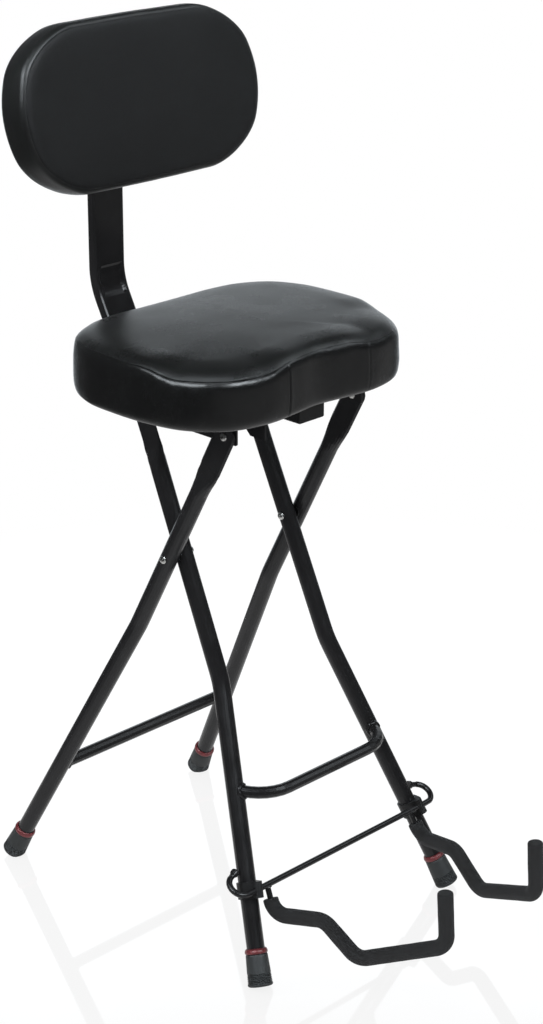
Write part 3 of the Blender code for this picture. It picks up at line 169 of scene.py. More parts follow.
def fine_texture():
    """Fine bumps of one size, for orange peel, foam skin and moulded rubber."""
    tree, given, out = new_group("fine texture", (("Grain size", 0.0012), ("Pits", 0.0)),
                                 (("Height", "Float"),))
    where = object_place(tree)
    scale = maths(tree, "DIVIDE", 1.0, given["Grain size"])
    bumps = add(tree, "ShaderNodeTexNoise", {"Vector": where, "Scale": scale, "Detail": 2.0})
    holes = add(tree, "ShaderNodeTexVoronoi", {"Vector": where, "Scale": scale})
    hollow = ramp(tree, holes.outputs["Distance"], 0.12, 0.42)
    height = add(tree, "ShaderNodeMix", {"Factor": given["Pits"]})
    tree.links.new(bumps.outputs["Fac"], height.inputs[2])
    tree.links.new(hollow, height.inputs[3])
    tree.links.new(height.outputs[0], out.inputs["Height"])
    return tree


def patchy():
    """Slow changes over a surface: handling, dust and uneven gloss."""
    tree, given, out = new_group("patchy", (("Patch size", 0.05), ("Contrast", 1.0)),
                                 (("Share", "Float"), ("Specks", "Float")))
    where = object_place(tree)
    scale = maths(tree, "DIVIDE", 1.0, given["Patch size"])
    slow = add(tree, "ShaderNodeTexNoise", {"Vector": where, "Scale": scale, "Detail": 4.0, "Roughness": 0.6})
    centred = maths(tree, "SUBTRACT", slow.outputs["Fac"], 0.5)
    share = maths(tree, "MULTIPLY_ADD", centred, given["Contrast"], 0.5)
    dust = add(tree, "ShaderNodeTexVoronoi", {"Vector": where, "Scale": 420.0, "Randomness": 1.0})
    specks = ramp(tree, dust.outputs["Distance"], 0.09, 0.03)
    tree.links.new(share, out.inputs["Share"])
    tree.links.new(specks, out.inputs["Specks"])
    return tree


def edge_wear_and_highlight():
    """Mask of edges and corners, broken up so that it looks rubbed; the finishes lighten it as wear, and the
    powder coat also as a painted highlight.
    """
    tree, given, out = new_group("edge wear and highlight", (("Width", 0.0012), ("Amount", 1.0)), (("Edges", "Float"),))
    true = add(tree, "ShaderNodeNewGeometry")
    round_off = add(tree, "ShaderNodeBevel", {"Radius": given["Width"]}, samples=4)
    edge = ramp(tree, dot(tree, round_off.outputs[0], true.outputs["Normal"]), 0.995, 0.80)
    where = object_place(tree)
    rub = add(tree, "ShaderNodeTexNoise", {"Vector": where, "Scale": 260.0, "Detail": 3.0})
    broken = ramp(tree, rub.outputs["Fac"], 0.35, 0.65)
    worn = maths(tree, "MULTIPLY", maths(tree, "MULTIPLY", edge, broken), given["Amount"])
    tree.links.new(worn, out.inputs["Edges"])
    return tree


GRAIN = leather_grain()
TEXTURE = fine_texture()
PATCHY = patchy()
WEAR_AND_HIGHLIGHT = edge_wear_and_highlight()


# Finishes
def finish(name, roughness, ior=1.45, metallic=0.0, sheen=0.0):
    """A Principled finish with its plain numbers set on the shader itself."""
    mat = bpy.data.materials.new(name)
    mat.use_nodes = True
    shader = mat.node_tree.nodes["Principled BSDF"]
    values = {"Roughness": roughness, "IOR": ior, "Metallic": metallic, "Sheen Weight": sheen}
    for label, value in values.items():
        shader.inputs[label].default_value = value
    return mat, mat.node_tree, shader


def feed(tree, shader, colour, rough, height, depth, strength):
    """Link a finish's colour, its roughness and its bumps of a depth in metres."""
    bump = add(tree, "ShaderNodeBump", {"Height": height, "Distance": depth, "Strength": strength})
    tree.links.new(colour, shader.inputs["Base Color"])
    tree.links.new(rough, shader.inputs["Roughness"])
    tree.links.new(bump.outputs["Normal"], shader.inputs["Normal"])


def upholstery(name, colour, worn, roughness, spread, depth, ior=1.40):
    """Black upholstery vinyl with pressed grain; worn is its colour where it is handled."""
    mat, tree, shader = finish(name, roughness, ior, sheen=0.02)
    grain = put(tree, GRAIN, cell_size=0.0015)
    patches = put(tree, PATCHY, patch_size=0.07, contrast=1.4)
    handled = blend(tree, patches["Share"], (*colour, 1), (*worn, 1))
    # The grain's creases take a fixed near-black colour: painted shade in the creases.
    crease_shade_share = maths(tree, "MULTIPLY", grain["Creases"], 0.5)
    crease_shaded = blend(tree, crease_shade_share, handled, (0.006, 0.006, 0.006, 1))
    rough = ramp(tree, patches["Share"], 0.2, 0.8, roughness - spread, roughness + spread)
    rough = maths(tree, "MULTIPLY_ADD", grain["Creases"], 0.08, rough)
    feed(tree, shader, crease_shaded, rough, grain["Height"], depth, 0.6)
    return mat


def powder_coat(name, colour, roughness):
    """Semi-gloss powder coat: slight orange peel, paler along its edges, partly rubbed wear and partly a
    painted highlight.
    """
    mat, tree, shader = finish(name, roughness, 1.28)
    peel = put(tree, TEXTURE, grain_size=0.0011)
    patches = put(tree, PATCHY, patch_size=0.03, contrast=1.2)
    edges = put(tree, WEAR_AND_HIGHLIGHT, width=0.0010, amount=0.7)
    handled = tuple(1.5 * c for c in colour)
    # Paler colour along the edges: rubbed wear and a painted highlight on the edges.
    worn_and_highlit_edge = tuple(3.0 * c for c in colour)
    base = blend(tree, patches["Share"], (*colour, 1), (*handled, 1))
    base = blend(tree, edges["Edges"], base, (*worn_and_highlit_edge, 1))
    rough = ramp(tree, patches["Share"], 0.2, 0.8, roughness - 0.05, roughness + 0.07)
    rough = maths(tree, "MULTIPLY_ADD", edges["Edges"], -0.08, rough)
    feed(tree, shader, base, rough, peel["Height"], 0.00006, 0.5)
    return mat


def rubber(name, colour, dusty, roughness, grain_size, depth, pits=0.0, ior=1.40):
    """Matt rubber, foam or moulded plastic with a fine skin and a little dust."""
    mat, tree, shader = finish(name, roughness, ior)
    skin_bumps = put(tree, TEXTURE, grain_size=grain_size, pits=pits)
    patches = put(tree, PATCHY, patch_size=0.02, contrast=1.3)
    base = blend(tree, patches["Share"], (*colour, 1), (*dusty, 1))
    dust = tuple(4 * c for c in dusty)
    base = blend(tree, maths(tree, "MULTIPLY", patches["Specks"], 0.35), base, (*dust, 1))
    rough = ramp(tree, patches["Share"], 0.2, 0.8, roughness - 0.06, roughness + 0.06)
    feed(tree, shader, base, rough, skin_bumps["Height"], depth, 0.8)
    return mat


def zinc_plate():
    """Bright zinc plating with fine scratches and duller patches."""
    mat, tree, shader = finish("zinc plate", 0.28, metallic=1.0)
    patches = put(tree, PATCHY, patch_size=0.004, contrast=1.6)
    edges = put(tree, WEAR_AND_HIGHLIGHT, width=0.0005, amount=0.6)
    base = blend(tree, patches["Share"], (0.42, 0.42, 0.40, 1), (0.66, 0.66, 0.65, 1))
    base = blend(tree, edges["Edges"], base, (0.80, 0.80, 0.80, 1))
    rough = ramp(tree, patches["Share"], 0.2, 0.8, 0.20, 0.40)
    scratches = put(tree, TEXTURE, grain_size=0.0004)
    feed(tree, shader, base, rough, scratches["Height"], 0.00002, 0.6)
    return mat


def plywood():
    """Bare plywood: long grain on its faces and thin veneers on its edges."""
    mat, tree, shader = finish("plywood", 0.62)
    where = object_place(tree)
    long_way = add(tree, "ShaderNodeVectorMath", {0: where, 1: (14.0, 160.0, 160.0)}, operation="MULTIPLY")
    streaks = add(tree, "ShaderNodeTexNoise", {"Vector": long_way.outputs[0], "Scale": 1.0, "Detail": 5.0})
    share = ramp(tree, streaks.outputs["Fac"], 0.3, 0.7)
    base = blend(tree, share, (0.30, 0.19, 0.10, 1), (0.17, 0.10, 0.05, 1))
    rough = ramp(tree, streaks.outputs["Fac"], 0.3, 0.7, 0.55, 0.72)
    feed(tree, shader, base, rough, share, 0.00015, 0.5)
    return mat


def dust_cover_cloth():
    """Thin black non-woven cloth with its grid of small pressed dots."""
    mat, tree, shader = finish("non-woven cloth", 0.8, 1.35)
    where = object_place(tree)
    dots = add(tree, "ShaderNodeTexVoronoi", {"Vector": where, "Scale": 620.0, "Randomness": 0.12})
    pressed = ramp(tree, dots.outputs["Distance"], 0.18, 0.34)
    fibres = put(tree, TEXTURE, grain_size=0.0005)
    base = blend(tree, pressed, (0.020, 0.020, 0.021, 1), (0.011, 0.011, 0.012, 1))
    rough = ramp(tree, pressed, 0.0, 1.0, 0.62, 0.85)
    height = maths(tree, "MULTIPLY_ADD", fibres["Height"], 0.5, pressed)
    feed(tree, shader, base, rough, height, 0.00012, 0.7)
    return mat


SEAT_PANEL = upholstery("seat panel vinyl", (0.0066, 0.0072, 0.0074), (0.0092, 0.0102, 0.0102),
                        roughness=0.28, spread=0.03, depth=0.00005)
SEAT_BAND = upholstery("seat band vinyl", (0.0044, 0.0047, 0.0050), (0.0070, 0.0073, 0.0076),
                       roughness=0.19, spread=0.04, depth=0.00005)
PAD_PANEL = upholstery("backrest panel vinyl", (0.0070, 0.0073, 0.0078), (0.0098, 0.0102, 0.0108),
                       roughness=0.50, spread=0.05, depth=0.00010, ior=1.28)
PAD_BAND = upholstery("backrest band vinyl", (0.0060, 0.0066, 0.0068), (0.0085, 0.0094, 0.0094),
                      roughness=0.34, spread=0.03, depth=0.00006)
PAINT = powder_coat("black powder coat", (0.0120, 0.0120, 0.0128), roughness=0.20)
SLOT_FINISH = {
    "black_powder_coat": PAINT,
    "zinc": zinc_plate(),
    "charcoal_rubber": rubber("charcoal rubber", (0.0112, 0.0128, 0.0138), (0.0165, 0.0185, 0.0190),
                              roughness=0.58, grain_size=0.0009, depth=0.00008),
    "red_rubber": rubber("red rubber", (0.105, 0.014, 0.018), (0.150, 0.026, 0.029),
                         roughness=0.38, grain_size=0.0009, depth=0.00005),
    "black_foam": rubber("black foam", (0.0160, 0.0162, 0.0168), (0.0230, 0.0232, 0.0240),
                         roughness=0.86, grain_size=0.0007, depth=0.00022, pits=0.7, ior=1.30),
    "black_vinyl": SEAT_PANEL,
    "plywood": plywood(),
    "black_plastic": rubber("black plastic", (0.0058, 0.0058, 0.0062), (0.0095, 0.0095, 0.0100),
                            roughness=0.42, grain_size=0.0008, depth=0.00004, ior=1.30),
}
CLOTH = dust_cover_cloth()
for entry in frame["record"]["subparts"]:
    carried = NODES[entry["node"]].data.materials
    carried.clear()
    carried.append(SLOT_FINISH[entry["material_slot"]])


# Making meshes
def piece(name, points, faces, finishes, kinds=None, sharp=50.0):
    """One smooth-shaded mesh object; kinds gives the finish of each face."""
    mesh = bpy.data.meshes.new(name)
    mesh.from_pydata([tuple(p) for p in points], [], faces)
    for mat in finishes:
        mesh.materials.append(mat)
    if kinds is not None:
        mesh.polygons.foreach_set("material_index", kinds)
    bm = bmesh.new()
    bm.from_mesh(mesh)
    bmesh.ops.recalc_face_normals(bm, faces=bm.faces)
    bm.to_mesh(mesh)
    bm.free()
    mesh.shade_smooth()
    mesh.set_sharp_from_angle(angle=radians(sharp))
    obj = bpy.data.objects.new(name, mesh)
    SCENE.collection.objects.link(obj)
    return obj


def between(low, high, count):
    """Faces between two rings of count points, given the number of each one's first point."""
    return [(low + i, low + (i + 1) % count, high + (i + 1) % count, high + i) for i in range(count)]


def skin(name, rings, finishes, bands=None, sharp=50.0):
    """Closed skin over rings with equally many points; bands gives the finish between two rings."""
    count = len(rings[0])
    points = np.concatenate(rings)
    faces, kinds = [], []
    for band in range(len(rings) - 1):
        faces += between(band * count, (band + 1) * count, count)
        kinds += [bands[band] if bands else 0] * count
    for ring, low, band in ((rings[0], 0, 0), (rings[-1], (len(rings) - 1) * count, -1)):
        centre = len(points)
        points = np.vstack([points, ring.mean(0)])
        for i in range(count):
            faces.append((low + i, low + (i + 1) % count, centre))
            kinds.append(bands[band] if bands else 0)
    return piece(name, points, faces, finishes, kinds, sharp)


def loop_skin(name, rings, finish_of):
    """Ring-shaped skin: the last ring joins the first."""
    count, total = len(rings[0]), len(rings)
    faces = []
    for k in range(total):
        faces += between(k * count, (k + 1) % total * count, count)
    return piece(name, np.concatenate(rings), faces, [finish_of], sharp=60.0)


def circle(middle, radius, out, up, sides):
    """Ring of points round a middle, in the plane of two directions."""
    turns = np.linspace(0, 2 * pi, sides, endpoint=False)
    return np.array([middle + radius * (cos(turn) * out + sin(turn) * up) for turn in turns])


def closed_curve(points, steps):
    """Closed smooth curve through 2D points."""
    points = np.array(points, float)
    before, after, beyond = (np.roll(points, shift, 0) for shift in (1, -1, -2))
    loop = []
    for a, b, c, d in zip(before, points, after, beyond):
        for step in range(steps):
            t = step / steps
            loop.append(0.5 * (2 * b + (c - a) * t + (2 * a - 5 * b + 4 * c - d) * t ** 2
                               + (3 * b - a - 3 * c + d) * t ** 3))
    return np.array(loop)


def lengths_along(loop):
    """Lengths from a closed loop's first point to each of its points, and all the way round."""
    closed = np.vstack([loop, loop[:1]])
    return np.concatenate([[0], np.cumsum(np.linalg.norm(np.diff(closed, axis=0), axis=1))])


def resample(loop, places):
    """Points of a closed loop at the given lengths along it."""
    closed = np.vstack([loop, loop[:1]])
    length = lengths_along(loop)
    places = np.asarray(places) % length[-1]
    return np.stack([np.interp(places, length, closed[:, k]) for k in range(2)], 1)


def inward(loop):
    """Unit normals of an anticlockwise 2D loop, pointing inwards."""
    along = np.roll(loop, -1, 0) - np.roll(loop, 1, 0)
    along /= np.linalg.norm(along, axis=1)[:, None]
    return np.stack([-along[:, 1], along[:, 0]], 1)


def ripple(place, height, size):
    """Smooth unevenness between -1 and 1, the same at every run."""
    return noise.noise(Vector((place[0] / size, place[1] / size, height / size)))


# Seat cushion
SEAT_HALF_WIDTH = 0.1939
SEAT_FRONT = 0.1506       # from its middle to the middle of its front
SEAT_REAR = 0.1288
SEAT_TOP = 0.0790         # height of its crown above its underside
SEAT_CROWN = np.array([0.0, -0.006])               # where that is
WALL_SEAMS = ((-0.0583, 0.0012), (0.0761, 0.0004))   # x and groove depth of the band's upright seams
WALL_SEAM_WIDTH = 0.0010
WALL_SEAM_STEPS = (-0.0042, -0.0026, -0.0015, -0.0007, 0, 0.0007, 0.0015, 0.0026, 0.0042)
# Cover of the seat as (inset, height): its hem, its wall and rim at the sides, and at the front lobes,
# where the seam dips
SEAT_HEM = ((0.0217, 0.0103), (0.0217, 0.0002), (0.0190, 0.0), (0.0100, 0.0), (0.0074, 0.0001),
            (0.0050, 0.0007), (0.0030, 0.0017), (0.0013, 0.0036), (0.0003, 0.0060), (-0.0005, 0.0090),
            (-0.0012, 0.0140), (-0.0016, 0.0200), (-0.0016, 0.0260))
SEAT_SIDE = ((-0.0014, 0.0330), (-0.0011, 0.0410), (-0.0007, 0.0490), (-0.0002, 0.0550), (0.0004, 0.0595),
             (0.0012, 0.0630), (0.0022, 0.0655), (0.0033, 0.0670), (0.0043, 0.0678), (0.0054, 0.0683),
             (0.0059, 0.0689), (0.0071, 0.0700), (0.0089, 0.0713), (0.0113, 0.0726), (0.0145, 0.0738),
             (0.0185, 0.0749), (0.0240, 0.0756), (0.0310, 0.0762), (0.0400, 0.0768))
SEAT_LOBE = ((-0.0014, 0.0320), (-0.0012, 0.0380), (-0.0008, 0.0440), (-0.0003, 0.0490), (0.0004, 0.0527),
             (0.0012, 0.0553), (0.0023, 0.0574), (0.0035, 0.0590), (0.0046, 0.0600), (0.0058, 0.0606),
             (0.0063, 0.0612), (0.0076, 0.0625), (0.0095, 0.0642), (0.0119, 0.0661), (0.0152, 0.0681),
             (0.0198, 0.0699), (0.0262, 0.0714), (0.0340, 0.0728), (0.0430, 0.0741))
SEAT_SEAM = 9             # which point of SEAT_SIDE and SEAT_LOBE lies at the bottom of the seam


def seat_outline():
    """Plan of the seat about its middle, anticlockwise from the middle of its front."""
    front = zip((0.0, 0.214, 0.472, 0.738, 0.921, 0.989), (1.0, 1.03, 1.05, 0.951, 0.685, 0.341))
    rear = zip((1.0, 0.974, 0.855, 0.631, 0.385, 0.178), (0.0, 0.393, 0.744, 0.951, 1.005, 1.002))
    half = [(SEAT_HALF_WIDTH * x, -SEAT_FRONT * y) for x, y in front]
    half += [(SEAT_HALF_WIDTH * x, SEAT_REAR * y) for x, y in rear]
    points = half + [(0.0, SEAT_REAR)] + [(-x, y) for x, y in reversed(half[1:])]
    return closed_curve(points, 40)


def wall_seam_places(loop):
    """Lengths along the seat's outline at which the band's upright seams stand."""
    length = lengths_along(loop)
    front = loop[:, 1] < 0
    return [length[np.argmin(np.abs(loop[:, 0] - x) + 10 * ~front)] for x, depth in WALL_SEAMS]


def cover_places(loop, seams):
    """Lengths along the seat's outline at which its cover has points, closer at the upright seams."""
    near = [seam + offset for seam in seams for offset in WALL_SEAM_STEPS]
    even = [place for place in np.linspace(0, lengths_along(loop)[-1], 420, endpoint=False)
            if min(abs(place - seam) for seam in seams) > 0.0055]
    return np.array(sorted(even + near))


def wall_seam_groove(places, seams):
    """How far the upright seams draw the band in at each place, with a low welt on either side."""
    groove = np.zeros(len(places))
    for seam, (x, depth) in zip(seams, WALL_SEAMS):
        gap = np.abs(places - seam)
        welt = 0.0003 * np.exp(-((gap - 0.0027) / 0.0014) ** 2)
        groove += depth * np.exp(-(gap / WALL_SEAM_WIDTH) ** 2) - welt
    return groove


def smooth(value, low, high):
    """Share that eases from 0 at low to 1 at high."""
    share = np.clip((value - low) / (high - low), 0.0, 1.0)
    return share * share * (3 - 2 * share)


def crown_rings(rim):
    """Rings of the top panel from its rim to its crown; the rim's ups and downs fade on the way."""
    flat_rim = rim[:, :2]
    waves = np.fft.rfft(SEAT_TOP - rim[:, 2])
    powers = np.maximum(np.arange(len(waves)), 1.9)
    rings = []
    for share in (0.96, 0.91, 0.85, 0.78, 0.70, 0.61, 0.51, 0.40, 0.29, 0.18, 0.08):
        flat = SEAT_CROWN + (flat_rim - SEAT_CROWN) * share
        height = SEAT_TOP - np.fft.irfft(waves * share ** powers, len(rim))
        soft = np.array([0.0003 * ripple(p, 0, 0.045) for p in flat])
        rings.append(np.column_stack([flat, height + soft * (1 - share ** 2)]))
    return rings


def make_seat_cushion():
    """Boxed seat cushion: top panel, seam round the rim and a band with two upright seams in front."""
    fine = seat_outline()
    seams = wall_seam_places(fine)
    places = cover_places(fine, seams)
    outline = resample(fine, places)
    to_middle = inward(outline)
    groove = wall_seam_groove(places, seams)
    lobe = smooth(np.abs(outline[:, 0]), 0.040, 0.100) * smooth(-outline[:, 1], 0.044, 0.096)
    rings, bands = [], []
    for k, (side, front) in enumerate([*zip(SEAT_HEM, SEAT_HEM), *zip(SEAT_SIDE, SEAT_LOBE)]):
        depth = side[0] + (front[0] - side[0]) * lobe
        height = side[1] + (front[1] - side[1]) * lobe
        level = k - len(SEAT_HEM) - SEAT_SEAM
        if level < 0 and side[1] > 0.002:
            depth = depth + groove * min(1.0, max(0.0, (-level - 1) / 4.0), side[1] / 0.006)
            depth += [0.0005 * ripple(p, h * 2.5, 0.040) + 0.0002 * ripple(p, h * 2.0, 0.012)
                      for p, h in zip(outline, height)]
        if -4 <= level < 0:
            pucker = np.array([ripple(p, 0.3, 0.0065) for p in outline])
            depth += 0.0005 * pucker * (1 - abs(level + 2) / 3)
        elif 0 < level < 6:
            height = height + [0.00035 * ripple(p, 0.7, 0.008) * (1 - level / 6) for p in outline]
        flat = outline + to_middle * depth[:, None]
        rings.append(np.column_stack([flat, height]))
        bands.append(1 if level < 0 else 0)
    crown = crown_rings(rings[-1])
    rings += crown
    bands += [0] * len(crown)
    cushion = skin("seat_cover", [ring + np.array(SEAT) for ring in rings], [SEAT_PANEL, SEAT_BAND], bands)
    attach(cushion, "seat")
    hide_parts("seat_cushion")
    return outline, to_middle


# Backrest cushion
PAD_HALF_WIDTH = 0.1930
PAD_HALF_HEIGHT = 0.1017
PAD_HALF_DEPTH = 0.0248
PAD_CORNER = 0.054
PAD_ENDS_IN = 0.043       # how far its ends draw in from half its height to its top
PAD_CROWN = 0.0022        # how far its top drops towards the corners
PAD_BOW = 0.0052          # how far its ends come forward
PAD_BACK_R = 0.013        # rounding from its band to its back
PAD_FRONT_R = 0.0100      # rounding from its band to the seam
PAD_FRONT_WAY = 0.0118    # depth that this rounding and the seam take
# Front panel as (inset, way back from the front), from the bottom of the seam to the panel's edge
PAD_SEAM = ((0.0055, 0.0032), (0.0058, 0.0025), (0.0068, 0.0017), (0.0086, 0.0009), (0.0112, 0.0002),
            (0.0146, -0.0004), (0.0190, -0.0008))


def pad_outline(shrink=0.0):
    """Front view of the pad about its middle, anticlockwise: (x, height)."""
    half_w, half_h, corner = PAD_HALF_WIDTH - shrink, PAD_HALF_HEIGHT - shrink, PAD_CORNER - shrink
    quarter = [(half_w, (half_h - corner) * k / 6) for k in range(6)]
    for turn in (pi / 2 * i / 16 for i in range(16)):
        quarter.append((half_w - corner * (1 - cos(turn)), half_h - corner * (1 - sin(turn))))
    straight = half_w - corner - PAD_ENDS_IN
    quarter += [(PAD_ENDS_IN + straight * share, half_h) for share in np.linspace(1.0, 0.08, 14)]
    shaped = []
    for x, z in quarter:
        crowned = z - PAD_CROWN * (x / half_w) ** 2 * (z / half_h)
        shaped.append((x - PAD_ENDS_IN * (crowned / half_h) ** 2, crowned))
    upper = shaped + [(0.0, half_h)] + [(-x, z) for x, z in reversed(shaped)]
    return np.array(upper + [(x, -z) for x, z in reversed(upper[1:-1])])


def pad_ring(loop, depth):
    """Bend a loop of the front view to the pad's bow and put it in its place."""
    x, z = loop[:, 0], loop[:, 1]
    local = np.column_stack([x, depth - PAD_BOW * (x / PAD_HALF_WIDTH) ** 2, z, np.ones(len(x))])
    return (local @ np.array(PAD).T)[:, :3]


def pad_profile():
    """Cover of the pad as (inset, depth, finish), from the board round the band to the panel's edge."""
    back, front = PAD_HALF_DEPTH, -PAD_HALF_DEPTH
    line = [(0.0197, back - 0.0093, 1), (0.0197, back - 0.0002, 1), (0.0165, back, 1)]
    for turn in (pi / 2 * step / 7 for step in range(8)):
        line.append((PAD_BACK_R * (1 - sin(turn)), back - PAD_BACK_R * (1 - cos(turn)), 1))
    for step in range(1, 7):
        depth = back - PAD_BACK_R - (2 * PAD_HALF_DEPTH - PAD_BACK_R - PAD_FRONT_WAY) * step / 7
        line.append((-0.0009 * sin(pi * step / 7), depth, 1))
    for turn in (radians(degrees) for degrees in (0, 14, 28, 42, 56)):
        line.append((PAD_FRONT_R * (1 - cos(turn)), front + PAD_FRONT_WAY - PAD_FRONT_R * sin(turn), 1))
    return line + [(inset, front + back_from, 0) for inset, back_from in PAD_SEAM]


def make_backrest_cushion():
    """Boxed backrest pad: crowned front panel, seam, and a band that rounds in to the board."""
    rings, bands = [], []
    for inset, depth, band in pad_profile():
        loop = pad_outline(inset)
        if abs(depth) < 0.02:
            loop = loop * (1 + np.array([0.0022 * ripple(p, depth, 0.03) for p in loop]))[:, None]
        rings.append(pad_ring(loop, depth))
        bands.append(band)
    edge_inset, edge_back = PAD_SEAM[-1]
    rim = pad_outline(edge_inset)
    for share in (0.97, 0.93, 0.88, 0.82, 0.75, 0.67, 0.58, 0.48, 0.37, 0.26, 0.15, 0.06):
        swell = 0.0026 * (1 - share ** 2.6)
        soft = np.array([0.0003 * ripple(p * share, 0, 0.05) for p in rim])
        rings.append(pad_ring(rim * share, edge_back - PAD_HALF_DEPTH - swell + soft * (1 - share)))
        bands.append(0)
    cushion = skin("backrest_cover", rings, [PAD_PANEL, PAD_BAND], bands)
    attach(cushion, "seat")
    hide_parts("backrest_cushion")


# Cloth under the seat and behind the pad, with its staples
CLOTH_THICKNESS = 0.00012
CLOTH_GAP = 0.00008       # between a board and its cloth
SEAT_CLOTH_INSET, SEAT_STAPLE_INSET = 0.0150, 0.0178      # from the edge of the seat
PAD_CLOTH_INSET, PAD_STAPLE_INSET = 0.0140, 0.0168        # from the edge of the pad
STAPLE_LINE = ((-0.0052, 0.0), (-0.0046, 0.0007), (0.0046, 0.0007), (0.0052, 0.0))   # along, and off the board
STAPLE_WIRE = ((-0.0006, 0.0), (0.0006, 0.0), (0.0006, 0.0005), (-0.0006, 0.0005))   # section of its flat wire
STAPLE_OFF, STAPLE_SUNK = 0.0002, 0.0004


def flat_sheet(name, loop, place_ring):
    """Thin cloth cut to a loop, stapled flat on a board by place_ring(loop, depth)."""
    rings = [place_ring(loop, 0.0), place_ring(loop, CLOTH_THICKNESS)]
    cloth = skin(name, rings, [CLOTH], sharp=30.0)
    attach(cloth, "seat")


def staples(name, places, out):
    """Wire staples: places gives each one's middle and its direction; out points off the board."""
    points, faces = [], []
    for middle, along in places:
        aside = np.cross(out, along)
        first = len(points)
        for end, rise in STAPLE_LINE:
            for a, b in STAPLE_WIRE:
                points.append(middle + along * end + aside * a + out * (b + rise - STAPLE_SUNK))
        for low in (first, first + 4, first + 8):
            faces += between(low, low + 4, 4)
        faces += [(first, first + 1, first + 2, first + 3), (first + 12, first + 13, first + 14, first + 15)]
    made = piece(name, points, faces, [SLOT_FINISH["zinc"]], sharp=30.0)
    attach(made, "seat")


def make_seat_underside(outline, to_middle):
    """Black cloth over the board's underside, stapled round its edge."""
    def under(loop, depth):
        return np.column_stack([loop, np.full(len(loop), -CLOTH_GAP - depth)]) + np.array(SEAT)

    flat_sheet("seat_dust_cover", outline + to_middle * SEAT_CLOTH_INSET, under)
    line = outline + to_middle * SEAT_STAPLE_INSET
    along = np.roll(line, -1, 0) - np.roll(line, 1, 0)
    along /= np.linalg.norm(along, axis=1)[:, None]
    places = []
    for i in range(4, len(line), 9):
        if abs(line[i, 0]) > 0.030:
            middle = np.array([line[i, 0], line[i, 1], -STAPLE_OFF]) + np.array(SEAT)
            places.append((middle, np.array([along[i, 0], along[i, 1], 0.0])))
    staples("seat_staples", places, np.array([0.0, 0.0, -1.0]))


def make_backrest_rear():
    """Black cloth over the pad's board, stapled round its edge."""
    def behind(loop, depth):
        return pad_ring(loop, PAD_HALF_DEPTH + CLOTH_GAP + depth)

    flat_sheet("backrest_dust_cover", pad_outline(PAD_CLOTH_INSET), behind)
    ring = pad_ring(pad_outline(PAD_STAPLE_INSET), PAD_HALF_DEPTH + STAPLE_OFF)
    out = np.array(PAD.to_3x3() @ Vector((0, 1, 0)))
    places = []
    for i in range(3, len(ring), 7):
        along = ring[(i + 1) % len(ring)] - ring[i - 1]
        along -= out * along.dot(out)
        places.append((ring[i], along / np.linalg.norm(along)))
    staples("backrest_staples", places, out)


# Cross rod of the guitar rest
HOOK_RISE = radians(28.9)
HOOK_BACK = Vector((0.0, cos(HOOK_RISE), sin(HOOK_RISE)))   # the way in which the rod's hooks point
HOOK_UP = Vector((0.0, -HOOK_BACK.z, HOOK_BACK.y))
HOOK_X = 0.1640           # where the half loops begin
HOOK_WIDE = 0.0150        # how far they stand out past that
HOOK_R = 0.0149           # half of their reach behind the rod
HOOK_TURN = radians(160.0)
ROD_STRAIGHT = 0.158
# End of a hook, and the keeper past it, as (way on from the tip, radius)
HOOK_TIP = ((-0.0012, ROD_R), (-0.0004, ROD_R - 0.0003), (0.0, ROD_R - 0.0011))
KEEPER = ((0.0004, 0.0027), (0.0009, 0.0034), (0.0050, 0.0036), (0.0066, 0.0041), (0.0080, 0.0052),
          (0.0120, 0.0054))


def hook_point(side, turn):
    """Point of a hook's half loop, its turn counted from the straight rod, and the way on from there."""
    x, reach = HOOK_X + HOOK_WIDE * sin(turn), HOOK_R - HOOK_R * cos(turn)
    here = ROD + Vector((side * x, 0, 0)) + HOOK_BACK * reach
    return here, (Vector((side * cos(turn), 0, 0)) + HOOK_BACK * sin(turn)).normalized()


def hook_line(side):
    """Stations of a hook from the straight rod to its tip."""
    tip, along = hook_point(side, HOOK_TURN)
    line = [(*hook_point(side, HOOK_TURN * k / 12), ROD_R) for k in range(1, 12)]
    return line + [(tip + along * on, along, radius) for on, radius in HOOK_TIP]


def round_rod(name, path):
    """Painted round rod along (point, way on, radius) stations in the hooks' plane."""
    rings = [circle(point, radius, along.cross(HOOK_UP), HOOK_UP, 28) for point, along, radius in path]
    return skin(name, rings, [PAINT], sharp=60.0)


def make_rest_rod():
    """Cross rod with a half-loop hook at each end, and the keepers on the legs that the hooks close on."""
    line = [(point, -along, radius) for point, along, radius in reversed(hook_line(1))]
    for x in np.linspace(ROD_STRAIGHT, -ROD_STRAIGHT, 24):
        line.append((ROD + Vector((x, 0, 0)), Vector((-1, 0, 0)), ROD_R))
    rod = round_rod("rest_rod_with_hooks", line + hook_line(-1))
    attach(rod, "guitar_rest")
    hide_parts("rest_rod")
    for side, word in SIDES_OF:
        tip, along = hook_point(side, HOOK_TURN)
        keeper = round_rod("hook_keeper_" + word, [(tip + along * on, along, radius) for on, radius in KEEPER])
        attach(keeper, "front_frame")


# Arms of the guitar rest and their foam
ARM_ROOT_X, ARM_TIP_X = 0.1313, 0.0826
ARM_REACH = 0.2434
ARM_DROP = 0.0544         # of its lowest stretch, under the rod
ARM_TIP_RISE = 0.0655
ARM_BEND_R = 0.022
# Corners of an arm, root first: shares of its reach, of its drop and of its way in from ARM_ROOT_X
ARM_REACH_SHARES = (0.0, 0.064, 0.345, 0.546, 1.0, 0.98)
ARM_DROP_SHARES = (0.62, 0.35, 1.0, 0.03)          # of the second corner to the fifth
ARM_IN_SHARES = (0.0, -0.075, 0.228, 0.376, 1.0, 1.0)
FOAM_R = 0.0095


